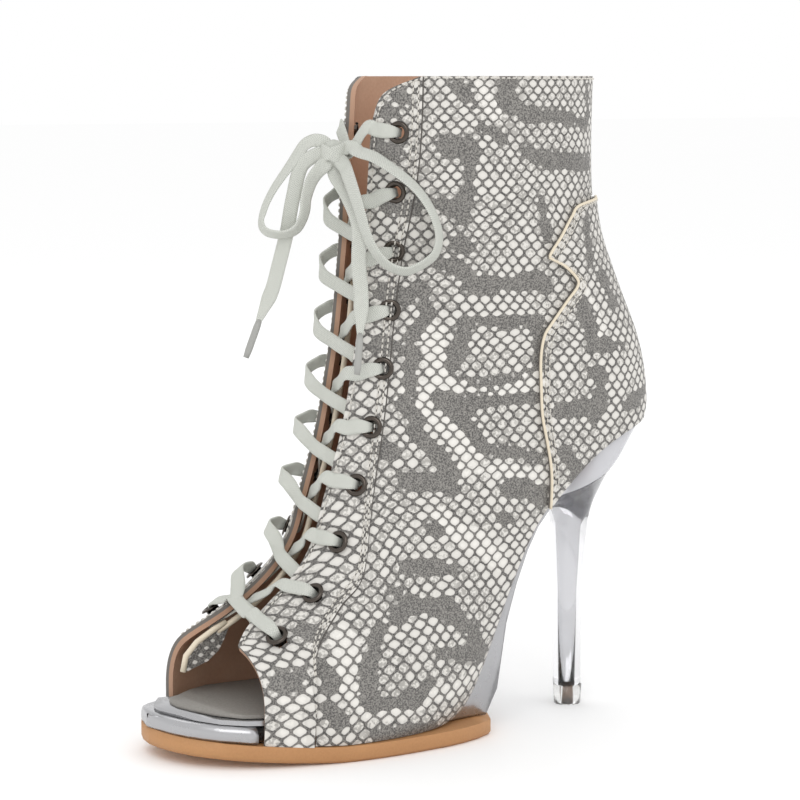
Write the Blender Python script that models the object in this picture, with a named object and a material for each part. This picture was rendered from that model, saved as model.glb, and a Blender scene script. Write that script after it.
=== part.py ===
"""Left open-toe lace-up dance boot on a thin platform with a high clear heel.

The toe points to -X, the outer side to -Y and +Z is up. The origin lies on the floor under the
middle of the ball. Sizes are in millimetres until a mesh is made, which is in metres.
"""

import math
from collections import namedtuple
from functools import lru_cache

import bmesh
import bpy
from mathutils import Vector
from mathutils.bvhtree import BVHTree

MILLIMETRE = 0.001

# Driving sizes
FORE_REACH = 64.5
REAR_REACH = 152.0
BALL_HALF = 41.5
SEAT_HEIGHT = 116.0
SHAFT_HEIGHT = 136.0
SOLE_THICKNESS = 6.3
TOE_SPRING = 5.2
SPRING_START = -4.0
WALL = 1.8
OVERLAY = 1.0
CLEARANCE = 0.3
INSOLE_THICKNESS = 1.8
PAD_THICKNESS = 1.4
THROAT_HALF = 9.5

# Eyelets and lace
EYELETS_A_SIDE = 10
EYELET_PITCH = 22.1
EYELET_FIRST = 31.0
EYELET_INSET = 11.0
EYELET_TOE_INSET = 15.0
EYELET_BARREL = 2.7
EYELET_BORE = 2.1
EYELET_FLANGE = 4.3
EYELET_LIFT = 0.3
EYELET_SIDES = 7
LACE_WIDTH = 4.8
LACE_THICKNESS = 1.0
LACE_UNDERSIDE = 0.8
CORD_RADIUS = 1.5
AGLET_RADIUS = 1.3

# Heel
HEEL_TIP_HEIGHT = 7.6
HEEL_CENTRE = 118.5
HEEL_DROP = 1.0

# Sections of the upper, from the toe opening to the collar. A section lies in a plane through its
# low (or back) point and its front point. Lengths forward and back are shares of FORE_REACH and
# REAR_REACH. A level of 0 is the floor, 1 the heel seat and 2 the collar. Half widths are shares
# of BALL_HALF, widest is the share of the way up where the section is broadest, and low_power and
# high_power say how square its lower and upper halves are. throat is the half opening as a share of
# THROAT_HALF, and skew how far a section swings forward on the inner side.
Section = namedtuple(
    "Section", "low_x low_level front_x front_level outer inner widest low_power high_power throat skew"
)
SECTIONS = [
    Section(-0.64, -0.010, -0.64, 0.392, 0.75, 0.61, 0.45, 5.0, 2.3, 1.75, -0.22),
    Section(-0.547, -0.015, -0.547, 0.420, 0.81, 0.70, 0.42, 5.0, 2.2, 1.35, -0.19),
    Section(-0.437, -0.017, -0.445, 0.455, 0.86, 0.78, 0.40, 5.0, 2.1, 1.12, -0.15),
    Section(-0.297, -0.017, -0.320, 0.505, 0.91, 0.85, 0.37, 5.0, 2.0, 1.00, -0.11),
    Section(-0.133, -0.017, -0.203, 0.560, 0.94, 0.91, 0.34, 5.0, 2.0, 1.00, -0.07),
    Section(0.020, -0.017, -0.113, 0.620, 0.96, 0.95, 0.32, 5.0, 1.95, 1.00, -0.03),
    Section(0.105, -0.017, -0.045, 0.688, 0.965, 0.94, 0.31, 4.5, 1.9, 1.00, 0.0),
    Section(0.197, -0.014, -0.005, 0.762, 0.94, 0.91, 0.30, 4.0, 1.9, 1.00, 0.0),
    Section(0.283, 0.000, 0.010, 0.835, 0.91, 0.87, 0.31, 3.4, 1.9, 1.00, 0.0),
    Section(0.368, 0.052, 0.023, 0.905, 0.86, 0.83, 0.32, 3.0, 1.9, 1.00, 0.0),
    Section(0.441, 0.172, 0.036, 0.975, 0.81, 0.79, 0.34, 2.8, 1.9, 1.00, 0.0),
    Section(0.513, 0.328, 0.049, 1.037, 0.78, 0.77, 0.37, 2.7, 1.9, 1.00, 0.0),
    Section(0.599, 0.491, 0.062, 1.103, 0.76, 0.76, 0.40, 2.6, 1.95, 1.00, 0.0),
    Section(0.711, 0.655, 0.072, 1.169, 0.75, 0.75, 0.42, 2.5, 2.0, 1.00, 0.0),
    Section(0.842, 0.802, 0.081, 1.243, 0.75, 0.75, 0.43, 2.4, 2.0, 1.00, 0.0),
    Section(0.938, 0.914, 0.089, 1.316, 0.75, 0.75, 0.44, 2.4, 2.0, 1.00, 0.0),
    Section(0.971, 1.011, 0.096, 1.390, 0.75, 0.75, 0.45, 2.4, 2.0, 1.00, 0.0),
    Section(0.976, 1.085, 0.102, 1.448, 0.75, 0.75, 0.46, 2.3, 2.0, 1.00, 0.0),
    Section(0.964, 1.170, 0.108, 1.507, 0.75, 0.75, 0.47, 2.3, 2.0, 1.00, 0.0),
    Section(0.940, 1.255, 0.114, 1.566, 0.75, 0.75, 0.48, 2.3, 2.0, 1.00, 0.0),
    Section(0.905, 1.345, 0.121, 1.632, 0.76, 0.76, 0.49, 2.2, 2.1, 1.00, 0.0),
    Section(0.866, 1.440, 0.127, 1.691, 0.77, 0.77, 0.50, 2.2, 2.1, 1.00, 0.0),
    Section(0.832, 1.543, 0.133, 1.757, 0.78, 0.78, 0.50, 2.1, 2.1, 1.00, 0.0),
    Section(0.812, 1.660, 0.139, 1.824, 0.79, 0.79, 0.50, 2.1, 2.1, 1.00, 0.0),
    Section(0.806, 1.785, 0.145, 1.890, 0.80, 0.80, 0.50, 2.1, 2.1, 1.05, 0.0),
    Section(0.807, 1.900, 0.150, 1.955, 0.80, 0.80, 0.50, 2.1, 2.1, 1.40, 0.0),
    Section(0.809, 2.000, 0.155, 2.000, 0.80, 0.80, 0.50, 2.1, 2.1, 2.45, 0.0),
]

# Lower edge of the upper and underside of the insole, seen from the side
Line = namedtuple("Line", "x level")
EDGE_LINE = (
    Line(0.10, 0.057),
    Line(0.21, 0.058),
    Line(0.29, 0.070),
    Line(0.342, 0.105),
    Line(0.382, 0.160),
    Line(0.415, 0.250),
    Line(0.447, 0.355),
    Line(0.493, 0.500),
    Line(0.553, 0.665),
    Line(0.600, 0.745),
    Line(0.670, 0.835),
    Line(0.750, 0.918),
    Line(0.855, 0.980),
    Line(0.985, 1.014),
)
INSOLE_LINE = (
    Line(-0.98, 0.106),
    Line(-0.50, 0.115),
    Line(0.08, 0.122),
    Line(0.21, 0.136),
    Line(0.296, 0.166),
    Line(0.342, 0.205),
    Line(0.382, 0.262),
    Line(0.415, 0.328),
    Line(0.447, 0.402),
    Line(0.500, 0.528),
    Line(0.559, 0.672),
    Line(0.600, 0.747),
    Line(0.670, 0.837),
    Line(0.750, 0.920),
    Line(0.855, 0.982),
    Line(0.990, 1.002),
)
# Underside of the platform and of its strip beneath the arch
PLATFORM_LINE = (
    Line(0.445, 0.057),
    Line(0.453, 0.090),
    Line(0.466, 0.233),
    Line(0.482, 0.345),
    Line(0.510, 0.470),
    Line(0.543, 0.585),
    Line(0.577, 0.672),
    Line(0.624, 0.745),
    Line(0.652, 0.783),
)

# Plan of the sole: half widths at shares of FORE_REACH and REAR_REACH, as shares of BALL_HALF
Plan = namedtuple("Plan", "x outer inner")
SOLE_PLAN = [
    Plan(-1.00, -0.12, 0.14),
    Plan(-0.985, 0.08, 0.32),
    Plan(-0.95, 0.24, 0.45),
    Plan(-0.88, 0.42, 0.55),
    Plan(-0.78, 0.57, 0.64),
    Plan(-0.65, 0.70, 0.71),
    Plan(-0.50, 0.80, 0.78),
    Plan(-0.30, 0.89, 0.87),
    Plan(0.00, 0.955, 0.945),
    Plan(0.105, 0.965, 0.94),
    Plan(0.20, 0.94, 0.91),
    Plan(0.29, 0.90, 0.86),
    Plan(0.36, 0.82, 0.79),
    Plan(0.42, 0.70, 0.68),
    Plan(0.455, 0.52, 0.50),
    Plan(0.468, 0.30, 0.28),
]

# Outline of the counter and of the front panel's seam, seen from the side
COUNTER_OUTLINE = [
    Line(0.598, 0.70),
    Line(0.590, 0.86),
    Line(0.572, 0.97),
    Line(0.556, 1.06),
    Line(0.552, 1.18),
    Line(0.560, 1.27),
    Line(0.582, 1.31),
    Line(0.632, 1.37),
    Line(0.664, 1.41),
    Line(0.660, 1.435),
    Line(0.615, 1.475),
    Line(0.572, 1.495),
    Line(0.610, 1.555),
    Line(0.650, 1.610),
    Line(0.690, 1.640),
    Line(0.860, 1.660),
]
SEAM_OUTLINE = [
    Line(-0.270, -0.10),
    Line(-0.262, 0.12),
    Line(-0.240, 0.30),
    Line(-0.200, 0.37),
    Line(-0.120, 0.43),
    Line(-0.010, 0.50),
    Line(0.050, 0.575),
    Line(0.085, 0.72),
    Line(0.115, 0.88),
    Line(0.140, 1.03),
    Line(0.168, 1.22),
    Line(0.190, 1.42),
    Line(0.212, 1.60),
    Line(0.232, 1.78),
    Line(0.246, 2.10),
]


def along(share):
    """Distance from the ball for a share of the reach forward or back."""
    return share * (FORE_REACH if share < 0 else REAR_REACH)


def height(level):
    """Height above the floor for a level."""
    return level * SEAT_HEIGHT if level <= 1 else SEAT_HEIGHT + (level - 1) * SHAFT_HEIGHT


def spring(x):
    """Lift of the sole towards the toe."""
    return TOE_SPRING * max(0.0, (SPRING_START - x) / (FORE_REACH + SPRING_START)) ** 1.15


def blend(table, position):
    """Smooth value between the rows of a table, for a position counted in rows."""
    i = min(max(int(position), 0), len(table) - 2)
    t = position - i
    before, first, second, after = (table[min(max(k, 0), len(table) - 1)] for k in (i - 1, i, i + 1, i + 2))
    result = []
    for p, a, b, q in zip(before, first, second, after):
        slope_a, slope_b = (b - p) / 2, (q - a) / 2
        result.append(
            a + slope_a * t
            + (3 * (b - a) - 2 * slope_a - slope_b) * t * t
            + (2 * (a - b) + slope_a + slope_b) * t ** 3
        )
    return result


@lru_cache(maxsize=None)
def line_spots(line):
    """Distances and heights of a side-view line in millimetres."""
    return [(along(p.x), height(p.level)) for p in line]


def on_line(line, x):
    """Height of a side-view line at a distance from the ball, level past its ends."""
    spots = line_spots(line)
    if x <= spots[0][0]:
        return spots[0][1]
    if x >= spots[-1][0]:
        return spots[-1][1]
    for i in range(len(spots) - 1):
        if x <= spots[i + 1][0]:
            break
    before = spots[max(i - 1, 0)]
    after = spots[min(i + 2, len(spots) - 1)]
    (x0, z0), (x1, z1) = spots[i], spots[i + 1]
    t = (x - x0) / (x1 - x0)
    slope_0 = (z1 - before[1]) / (x1 - before[0])
    slope_1 = (after[1] - z0) / (after[0] - x0)
    d = x1 - x0
    return (
        z0 * (1 + 2 * t) * (1 - t) ** 2
        + slope_0 * d * t * (1 - t) ** 2
        + z1 * t * t * (3 - 2 * t)
        + slope_1 * d * t * t * (t - 1)
    )


@lru_cache(maxsize=None)
def section_at(position):
    """Low point, front point, half widths and shape of the upper at a position in rows."""
    row = Section(*blend(SECTIONS, position))
    low = Vector((along(row.low_x), 0, height(row.low_level) + spring(along(row.low_x))))
    front = Vector((along(row.front_x), 0, height(row.front_level)))
    return row, low, front


def ring_spot(row, low, front, side, turn):
    """Point of a section for a turn of 0 at its low point to 1 at its front point."""
    half = BALL_HALF * (row.outer if side < 0 else row.inner)
    if turn < 0.5:
        angle = turn * math.pi
        rise = row.widest * (1 - math.cos(angle) ** (2 / row.low_power))
        wide = math.sin(angle) ** (2 / row.low_power)
    else:
        angle = (turn - 0.5) * math.pi
        rise = row.widest + (1 - row.widest) * math.sin(angle) ** (2 / row.high_power)
        wide = max(math.cos(angle), 0.0) ** (2 / row.high_power)
    spot = low.lerp(front, rise)
    spot.y = side * half * wide
    spot.x += row.skew * spot.y
    return spot


RING_STEPS = 80


@lru_cache(maxsize=None)
def section_curve(position, side):
    """Dense outline of one side of the upper, from its lower edge or back to the throat's edge."""
    row, low, front = section_at(position)
    gap = THROAT_HALF * row.throat
    curve = []
    last = None
    for k in range(RING_STEPS + 1):
        spot = ring_spot(row, low, front, side, k / RING_STEPS)
        above = spot.z - lower_edge(spot.x)
        if above >= 0 or (curve and k > RING_STEPS / 4):
            if last is not None and not curve and last[1] < 0:
                curve.append(last[0].lerp(spot, last[1] / (last[1] - above)))
            inside = abs(spot.y) - gap
            if curve and k > RING_STEPS / 2 and inside < 0:
                before = abs(curve[-1].y) - gap
                curve.append(curve[-1].lerp(spot, before / (before - inside)))
                break
            curve.append(spot)
        last = (spot, above)
    return curve


def lower_edge(x):
    """Height of the upper's lower edge at a distance from the ball."""
    if x > along(EDGE_LINE[-1].x):
        return -1000.0
    return on_line(EDGE_LINE, x) + spring(x)


def measured(curve):
    """Running length of a curve."""
    lengths = [0.0]
    for a, b in zip(curve, curve[1:]):
        lengths.append(lengths[-1] + (b - a).length)
    return lengths


def at_length(curve, lengths, length):
    """Point of a curve at a length from its start, straight on past its ends."""
    i = 0
    while i < len(lengths) - 2 and lengths[i + 1] < length:
        i += 1
    t = (length - lengths[i]) / max(lengths[i + 1] - lengths[i], 1e-9)
    return curve[i] + (curve[i + 1] - curve[i]) * t


def share_spot(position, side, share):
    """Point of the upper's outside at a share of the way from its lower edge to its throat."""
    curve = section_curve(position, side)
    lengths = measured(curve)
    return at_length(curve, lengths, share * lengths[-1])


def throat_spot(position, side, inset):
    """Point of the facet next to the throat at a distance from the throat's edge."""
    edge = share_spot(position, side, 1.0)
    back = share_spot(position, side, 1.0 - 1.0 / COLUMNS)
    return edge + (back - edge).normalized() * inset


NUDGE = 0.02
COLUMNS = 8
FLAT_ROWS = 8


def facing(spot, position, side, value):
    """Outward direction of the upper's outside at a point that spot() gives."""
    last = len(SECTIONS) - 1
    down, up = max(position - NUDGE, 0), min(position + NUDGE, last)
    across = spot(position, side, value + NUDGE) - spot(position, side, value - NUDGE)
    lengthwise = spot(up, side, value) - spot(down, side, value)
    normal = across.cross(lengthwise) * side
    return normal.normalized()


def throat_facing(position, side, inset):
    """Outward direction near the throat's edge."""
    return -facing(throat_spot, position, side, inset)


# Rows and columns of the upper's grid
def closing_position():
    """Position at which the low point of a section comes out above the heel seat."""
    low, high = 13.0, 17.0
    for _ in range(40):
        middle = (low + high) / 2
        spot = section_at(middle)[1]
        if spot.z >= lower_edge(spot.x):
            high = middle
        else:
            low = middle
    return high


def row_positions():
    """Positions of the grid's rows, closer where the heel closes and at the collar's corners."""
    closing = closing_position()
    positions = [float(k) for k in range(0, 15)]
    span = closing - 14.0
    positions += [14 + span * share for share in (0.35, 0.62, 0.82, 0.94)]
    positions.append(closing)
    step = (len(SECTIONS) - 1 - closing) / 13
    positions += [closing + step * k for k in range(1, 12)]
    positions += [len(SECTIONS) - 1 - step * share for share in (1.0, 0.5, 0.22, 0.0)]
    return positions, positions.index(closing)


def upper_grid(offset, rows, sides=(-1, 1)):
    """Points and faces of the upper's outside moved out by an offset, open at every edge."""
    positions, closing = rows
    points, index = [], {}
    for side in sides:
        for i, position in enumerate(positions):
            for j in range(COLUMNS + 1):
                if side == sides[-1] and len(sides) > 1 and i >= closing and j == 0:
                    index[side, i, j] = index[-1, i, 0]
                    continue
                share = j / COLUMNS
                spot = share_spot(position, side, share)
                if i >= closing and j == 0:
                    above = min(position + NUDGE, len(SECTIONS) - 1)
                    run = section_at(above)[1] - section_at(position - NUDGE)[1]
                    normal = Vector((run.z, 0, -run.x)).normalized()
                else:
                    normal = facing(share_spot, position, side, share)
                    if j == 0 and position <= FLAT_ROWS:
                        normal.z = 0.0
                index[side, i, j] = len(points)
                points.append(spot + normal * offset)
    faces = []
    for side in sides:
        for i in range(len(positions) - 1):
            for j in range(COLUMNS):
                corners = [index[side, i, j], index[side, i, j + 1], index[side, i + 1, j + 1], index[side, i + 1, j]]
                a, b, c, d = corners if side > 0 else corners[::-1]
                near, far = (
                    (share_spot(positions[i + m], side, (j + n) / COLUMNS), share_spot(positions[i + 1 - m], side, (j + 1 - n) / COLUMNS))
                    for m, n in ((0, 0), (1, 0))
                )
                first = (near[0] - near[1]).length < (far[0] - far[1]).length
                pair = ([a, b, c], [a, c, d]) if first == (side > 0) else ([a, b, d], [b, c, d])
                faces += [corner for corner in pair if len(set(corner)) == 3]
    return points, faces


# Meshes
def material(name, colour, roughness, metallic=0.0, transmission=0.0):
    """Plain Principled material."""
    made = bpy.data.materials.new(name)
    made.use_nodes = True
    shader = made.node_tree.nodes["Principled BSDF"]
    shader.inputs["Base Color"].default_value = (*colour, 1)
    shader.inputs["Roughness"].default_value = roughness
    shader.inputs["Metallic"].default_value = metallic
    shader.inputs["Transmission Weight"].default_value = transmission
    return made


def piece(name, points, faces, finish):
    """Object made of points in millimetres and faces, its faces turned outwards, the broadest first."""
    mesh = bpy.data.meshes.new(name)
    mesh.from_pydata([tuple(Vector(p) * MILLIMETRE) for p in points], [], faces)
    solid = bmesh.new()
    solid.from_mesh(mesh)
    bmesh.ops.recalc_face_normals(solid, faces=solid.faces)
    if solid.calc_volume(signed=True) < 0:
        bmesh.ops.reverse_faces(solid, faces=solid.faces)
    solid.faces.sort(key=lambda face: face.calc_area(), reverse=True)
    solid.to_mesh(mesh)
    solid.free()
    mesh.materials.append(finish)
    mesh.shade_smooth()
    mesh.set_sharp_from_angle(angle=math.radians(40))
    made = bpy.data.objects.new(name, mesh)
    bpy.context.scene.collection.objects.link(made)
    return made


def thickened(near, far, faces):
    """Closed body between two like grids: both skins and a rim round every open edge."""
    count = len(near)
    points = near + far
    sides = {}
    for face in faces:
        for a, b in zip(face, face[1:] + face[:1]):
            sides[a, b] = sides.get((a, b), 0) + 1
    walls = [[a, b, b + count, a + count] for a, b in sides if (b, a) not in sides]
    return points, [face[::-1] for face in faces] + [[k + count for k in face] for face in faces] + walls


def lofted(rings):
    """Body through closed rings of equal count, with flat ends."""
    count = len(rings[0])
    points = [spot for ring in rings for spot in ring]
    faces = [list(range(count))[::-1], [len(points) - count + k for k in range(count)]]
    for r in range(len(rings) - 1):
        for k in range(count):
            after = (k + 1) % count
            start = r * count
            faces.append([start + k, start + after, start + count + after, start + count + k])
    return points, faces


def hidden(cutter):
    """Marks a cutter so that it isn't part of the boot."""
    cutter.hide_render = True
    cutter.display_type = "WIRE"
    return cutter


def boolean(target, cutter, operation):
    """Adds a Boolean to an object."""
    modifier = target.modifiers.new(operation.lower(), "BOOLEAN")
    modifier.operation = operation
    modifier.object = cutter
    modifier.solver = "EXACT"


def prism(name, outline, low_y, high_y, finish):
    """Cutter with a side-view outline, from one distance across to another."""
    near = [Vector((x, low_y, z)) for x, z in outline]
    far = [Vector((x, high_y, z)) for x, z in outline]
    return hidden(piece(name, *lofted([near, far]), finish))


FAR = 1000.0


# Sole
def plan_at(x):
    """Half widths of the sole's outline at a distance from the ball."""
    spots = [(along(p.x), p.outer * BALL_HALF, p.inner * BALL_HALF) for p in SOLE_PLAN]
    if x <= spots[0][0]:
        return spots[0][1:]
    for i in range(len(spots) - 1):
        if x <= spots[i + 1][0]:
            break
    t = min((x - spots[i][0]) / (spots[i + 1][0] - spots[i][0]), 1.0)
    return blend([spot[1:] for spot in spots], i + t)


def wall_tree(rows):
    """Facets of the upper's wall, for measuring from its middle."""
    outside, faces = upper_grid(0.0, rows)
    inside, _ = upper_grid(-WALL, rows)
    return BVHTree.FromPolygons(*thickened(inside, outside, faces))


def wall_half(tree, x, heights, side):
    """Least distance from the middle to the wall's inside at some heights, or far where it has no wall."""
    found = [FAR]
    for z in heights:
        hit = tree.ray_cast(Vector((x, 0, z)), Vector((0, side, 0)))[0]
        if hit is not None:
            found.append(abs(hit.y))
    return min(found)


def spread(first, last, count, crowd=1.0):
    """Distances from first to last, closer together at the start where crowd is over 1."""
    return [first + (last - first) * (k / (count - 1)) ** crowd for k in range(count)]


OUTSOLE_PROUD = 0.6
OUTSOLE_REAR_LIFT = 2.2
PLATFORM_REAR = 99.0
INSOLE_REAR = 143.5


def make_outsole(finish):
    """Tan sole under the forepart, with a worn-round lower edge."""
    round_off = 1.6
    stations = spread(-FORE_REACH, -0.4 * FORE_REACH, 9, 1.7) + spread(-0.2 * FORE_REACH, along(0.468), 12)
    rear = along(0.468)
    rings = []
    for x in stations:
        outer, inner = plan_at(x)
        outer, inner = outer + OUTSOLE_PROUD, inner + OUTSOLE_PROUD
        base = spring(x) + OUTSOLE_REAR_LIFT * max(0.0, 1 - (rear - x) / 5.0) ** 2
        top = spring(x) + SOLE_THICKNESS
        rings.append([
            Vector((x, -outer, top)),
            Vector((x, -outer, base + round_off)),
            Vector((x, -outer + round_off, base)),
            Vector((x, inner - round_off, base)),
            Vector((x, inner, base + round_off)),
            Vector((x, inner, top)),
        ])
    return piece("outsole", *lofted(rings), finish)


# Distances along the foot at which the insole, its pad and the platform have a section
FOOT_STATIONS = [
    -58.0, -54.0, -48.0, -40.0, -30.0, -18.0, -10.0, SPRING_START, 8.0, 20.0, 31.0, 40.0, 46.0, 52.0, 57.0, 61.0, 65.0,
    69.5, 73.5, 78.0, 83.0, 88.0, 93.5, 99.0, 104.0, 111.0, 119.0, 127.0, 133.0, 138.0, 141.0, 143.5,
]
TOE_STEP = 2.6
RIM_REACH = 1.6
RIM_MARGIN = 1.2
BESIDE = 2.2
HEIGHT_STEP = 0.5


def stations_between(first, last):
    """Shared distances from one to another, with both of them."""
    return [first] + [x for x in FOOT_STATIONS if first + 0.5 < x < last - 0.5] + [last]


def toe_edge(side):
    """Distance of the toe opening's edge on one side."""
    front = SECTIONS[0]
    half = front.outer if side < 0 else front.inner
    return along(front.front_x) + front.skew * side * half * BALL_HALF


def inside_half(tree, x, base, top, side):
    """Half width between the walls, or of the sole's plan where the toe is open."""
    outline = plan_at(x)[0 if side < 0 else 1]
    edge = toe_edge(side)
    if x < edge - TOE_STEP:
        return outline + 0.2
    shifts = (-BESIDE, 0.0, BESIDE) if x > 30 else (0.0,)
    probes = [max(x + shift, edge + reach) for shift in shifts for reach in (0.5, RIM_REACH)]
    count = int((top - base + 1) / HEIGHT_STEP) + 2
    heights = [base - 0.5 + HEIGHT_STEP * k for k in range(count)]
    found = min(wall_half(tree, probe, heights, side) for probe in probes)
    found -= RIM_MARGIN if x < edge + 4 * RIM_REACH else 0.0
    return min(found - CLEARANCE, outline if x < 60 else FAR) - 0.15


def make_platform(tree, finish):
    """Platform wrapped in silver, which tapers to a strip under the arch."""
    steps = [toe_edge(side) - TOE_STEP + shift for side in (1, -1) for shift in (-0.1, 0.3)]
    stations = sorted(stations_between(-FORE_REACH - 0.6, PLATFORM_REAR) + [-62.5, -60.5] + steps)
    rings = []
    for x in stations:
        top = on_line(INSOLE_LINE, x) + spring(x) - CLEARANCE
        base = SOLE_THICKNESS + spring(x) + CLEARANCE + 0.05
        if x > along(PLATFORM_LINE[0].x):
            base = max(on_line(PLATFORM_LINE, x), base)
        outer, inner = (inside_half(tree, x, base, top, side) for side in (-1, 1))
        round_off = min(3.0, (top - base) * 0.4)
        rings.append([
            Vector((x, -outer + 0.3 * round_off, base)),
            Vector((x, -outer, base + 0.4 * round_off)),
            Vector((x, -outer, top - round_off)),
            Vector((x, -outer + 0.3 * round_off, top - 0.3 * round_off)),
            Vector((x, -outer + round_off, top)),
            Vector((x, inner - round_off, top)),
            Vector((x, inner - 0.3 * round_off, top - 0.3 * round_off)),
            Vector((x, inner, top - round_off)),
            Vector((x, inner, base + 0.4 * round_off)),
            Vector((x, inner - 0.3 * round_off, base)),
        ])
    return piece("platform", *lofted(rings), finish)


TOE_ROUND = 16.0
TOE_MARGIN = 2.4


def foot_layer(name, tree, first, last, lift, thickness, inset, finish):
    """Sheet that follows the insole's line from one distance to another."""
    rings = []
    for x in sorted(stations_between(first, last) + [first + 0.8, first + 2.2]):
        slope = (on_line(INSOLE_LINE, x + 1) - on_line(INSOLE_LINE, x - 1)) / 2
        lean = math.hypot(1, min(slope, 2.5))
        base = on_line(INSOLE_LINE, x) + spring(x) + lift * lean
        top = base + thickness * lean
        outer, inner = (inside_half(tree, x, base, top, side) - inset for side in (-1, 1))
        if x < toe_edge(-1) + TOE_MARGIN:
            outer, inner = outer - TOE_MARGIN, inner - TOE_MARGIN
        if x < first + TOE_ROUND:
            narrow = math.sqrt(max(1 - (1 - (x - first) / TOE_ROUND) ** 2, 0.04))
            centre = (inner - outer) / 2
            outer, inner = -centre + (outer + centre) * narrow, centre + (inner - centre) * narrow
        if x > last - inset and inset > 1:
            outer, inner = outer - inset / 2, inner - inset / 2
        rings.append([
            Vector((x, -outer, base)),
            Vector((x, inner, base)),
            Vector((x, inner, top)),
            Vector((x, -outer, top)),
        ])
    return piece(name, *lofted(rings), finish)


# Heel
HeelRing = namedtuple("HeelRing", "front_x front_z back_x back_z half")
HEEL_RINGS = [
    HeelRing(-5.9, 0.0, 5.3, 0.0, 5.5),
    HeelRing(-6.2, 22.0, 5.3, 22.0, 5.8),
    HeelRing(-6.6, 44.0, 5.9, 44.0, 6.3),
    HeelRing(-6.9, 62.0, 7.0, 62.0, 7.6),
    HeelRing(-7.4, 69.5, 8.2, 73.0, 10.0),
    HeelRing(-10.0, 74.0, 10.6, 83.0, 15.0),
    HeelRing(-16.0, 76.5, 14.3, 93.0, 21.0),
    HeelRing(-19.5, 79.5, 19.8, 101.0, 25.0),
]
HEEL_SIDES = 14


def make_heel(tree, finish):
    """Clear heel: a slim stem that flares into a cup under the seat."""
    scale = (SEAT_HEIGHT - HEEL_TIP_HEIGHT) / (116.0 - 7.6)
    rings = []
    for row in HEEL_RINGS:
        ring = []
        for k in range(HEEL_SIDES):
            angle = 2 * math.pi * (k + 0.5) / HEEL_SIDES
            share = (1 + math.cos(angle)) / 2
            x = HEEL_CENTRE + row.front_x + (row.back_x - row.front_x) * share
            z = HEEL_TIP_HEIGHT + CLEARANCE + (row.front_z + (row.back_z - row.front_z) * share) * scale
            if row.front_z == 0.0:
                z = HEEL_TIP_HEIGHT + CLEARANCE
            seat = on_line(INSOLE_LINE, x) - CLEARANCE - 1.5
            ring.append(Vector((x, row.half * math.sin(angle), min(z, seat))))
        rings.append(ring)
    top = []
    front, back = along(0.676), along(0.962)
    for k in range(HEEL_SIDES):
        angle = 2 * math.pi * (k + 0.5) / HEEL_SIDES
        x = (front + back) / 2 + (back - front) / 2 * math.cos(angle)
        seat = on_line(INSOLE_LINE, x) - CLEARANCE
        edge = on_line(EDGE_LINE, x) - HEEL_DROP
        wall = wall_half(tree, x, (edge + 1.5, edge + 2.5), -1) + WALL
        half = min(wall, 28.5 * abs(math.sin(angle)) ** 0.8) - 0.4
        top.append(Vector((x, math.copysign(half, math.sin(angle)), min(seat, edge))))
    rings.append(top)
    points, faces = lofted(rings)
    start = len(points) - HEEL_SIDES
    faces = [faces[0]] + faces[2:]
    # The top is closed by bands across it, so that it follows the seat
    for k in range(HEEL_SIDES // 2 - 1):
        faces.append([start + k, start + k + 1, start + HEEL_SIDES - 2 - k, start + HEEL_SIDES - 1 - k])
    return piece("heel", points, faces, finish)


def make_heel_tip(finish):
    """Top piece that the heel stands on."""
    rings = []
    for z, half_x, half_y in ((0.0, 5.4, 5.2), (HEEL_TIP_HEIGHT, 5.8, 5.6)):
        rings.append([
            Vector((HEEL_CENTRE + half_x * math.cos(a), half_y * math.sin(a), z))
            for a in (2 * math.pi * k / 12 for k in range(12))
        ])
    return piece("heel_tip", *lofted(rings), finish)


# Eyelets
def eyelet_inset(n):
    """Distance of an eyelet from the throat's edge, which grows towards the toe."""
    return EYELET_INSET + (EYELET_TOE_INSET - EYELET_INSET) * (n / (EYELETS_A_SIDE - 1)) ** 2


def eyelet_frames():
    """Centre and outward direction of each eyelet on the front panel, top to bottom, by side."""
    frames = {}
    for side in (-1, 1):
        last = len(SECTIONS) - 1
        positions = [last * k / 200 for k in range(200, -1, -1)]
        path = [throat_spot(p, side, EYELET_INSET) for p in positions]
        lengths = measured(path)
        frames[side] = []
        for n in range(EYELETS_A_SIDE):
            wanted = EYELET_FIRST + n * EYELET_PITCH
            k = max(i for i in range(len(lengths) - 1) if lengths[i] <= wanted)
            t = (wanted - lengths[k]) / (lengths[k + 1] - lengths[k])
            position = positions[k] + (positions[k + 1] - positions[k]) * t
            normal = throat_facing(position, side, eyelet_inset(n))
            centre = throat_spot(position, side, eyelet_inset(n))
            frames[side].append((position, centre + normal * (CLEARANCE + OVERLAY + EYELET_LIFT), normal))
    return frames


def turned(name, profile, centre, axis, sides, finish):
    """Closed ring turned about an axis from (radius, height) pairs."""
    turn = axis.to_track_quat("Z", "Y")
    points, faces = [], []
    count = len(profile)
    for k in range(sides):
        angle = 2 * math.pi * k / sides
        for radius, rise in profile:
            points.append(centre + turn @ Vector((radius * math.cos(angle), radius * math.sin(angle), rise)))
    for k in range(sides):
        for m in range(count):
            a, b = k * count, (k + 1) % sides * count
            n = (m + 1) % count
            faces.append([a + m, b + m, b + n, a + n])
    return piece(name, points, faces, finish)


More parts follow.
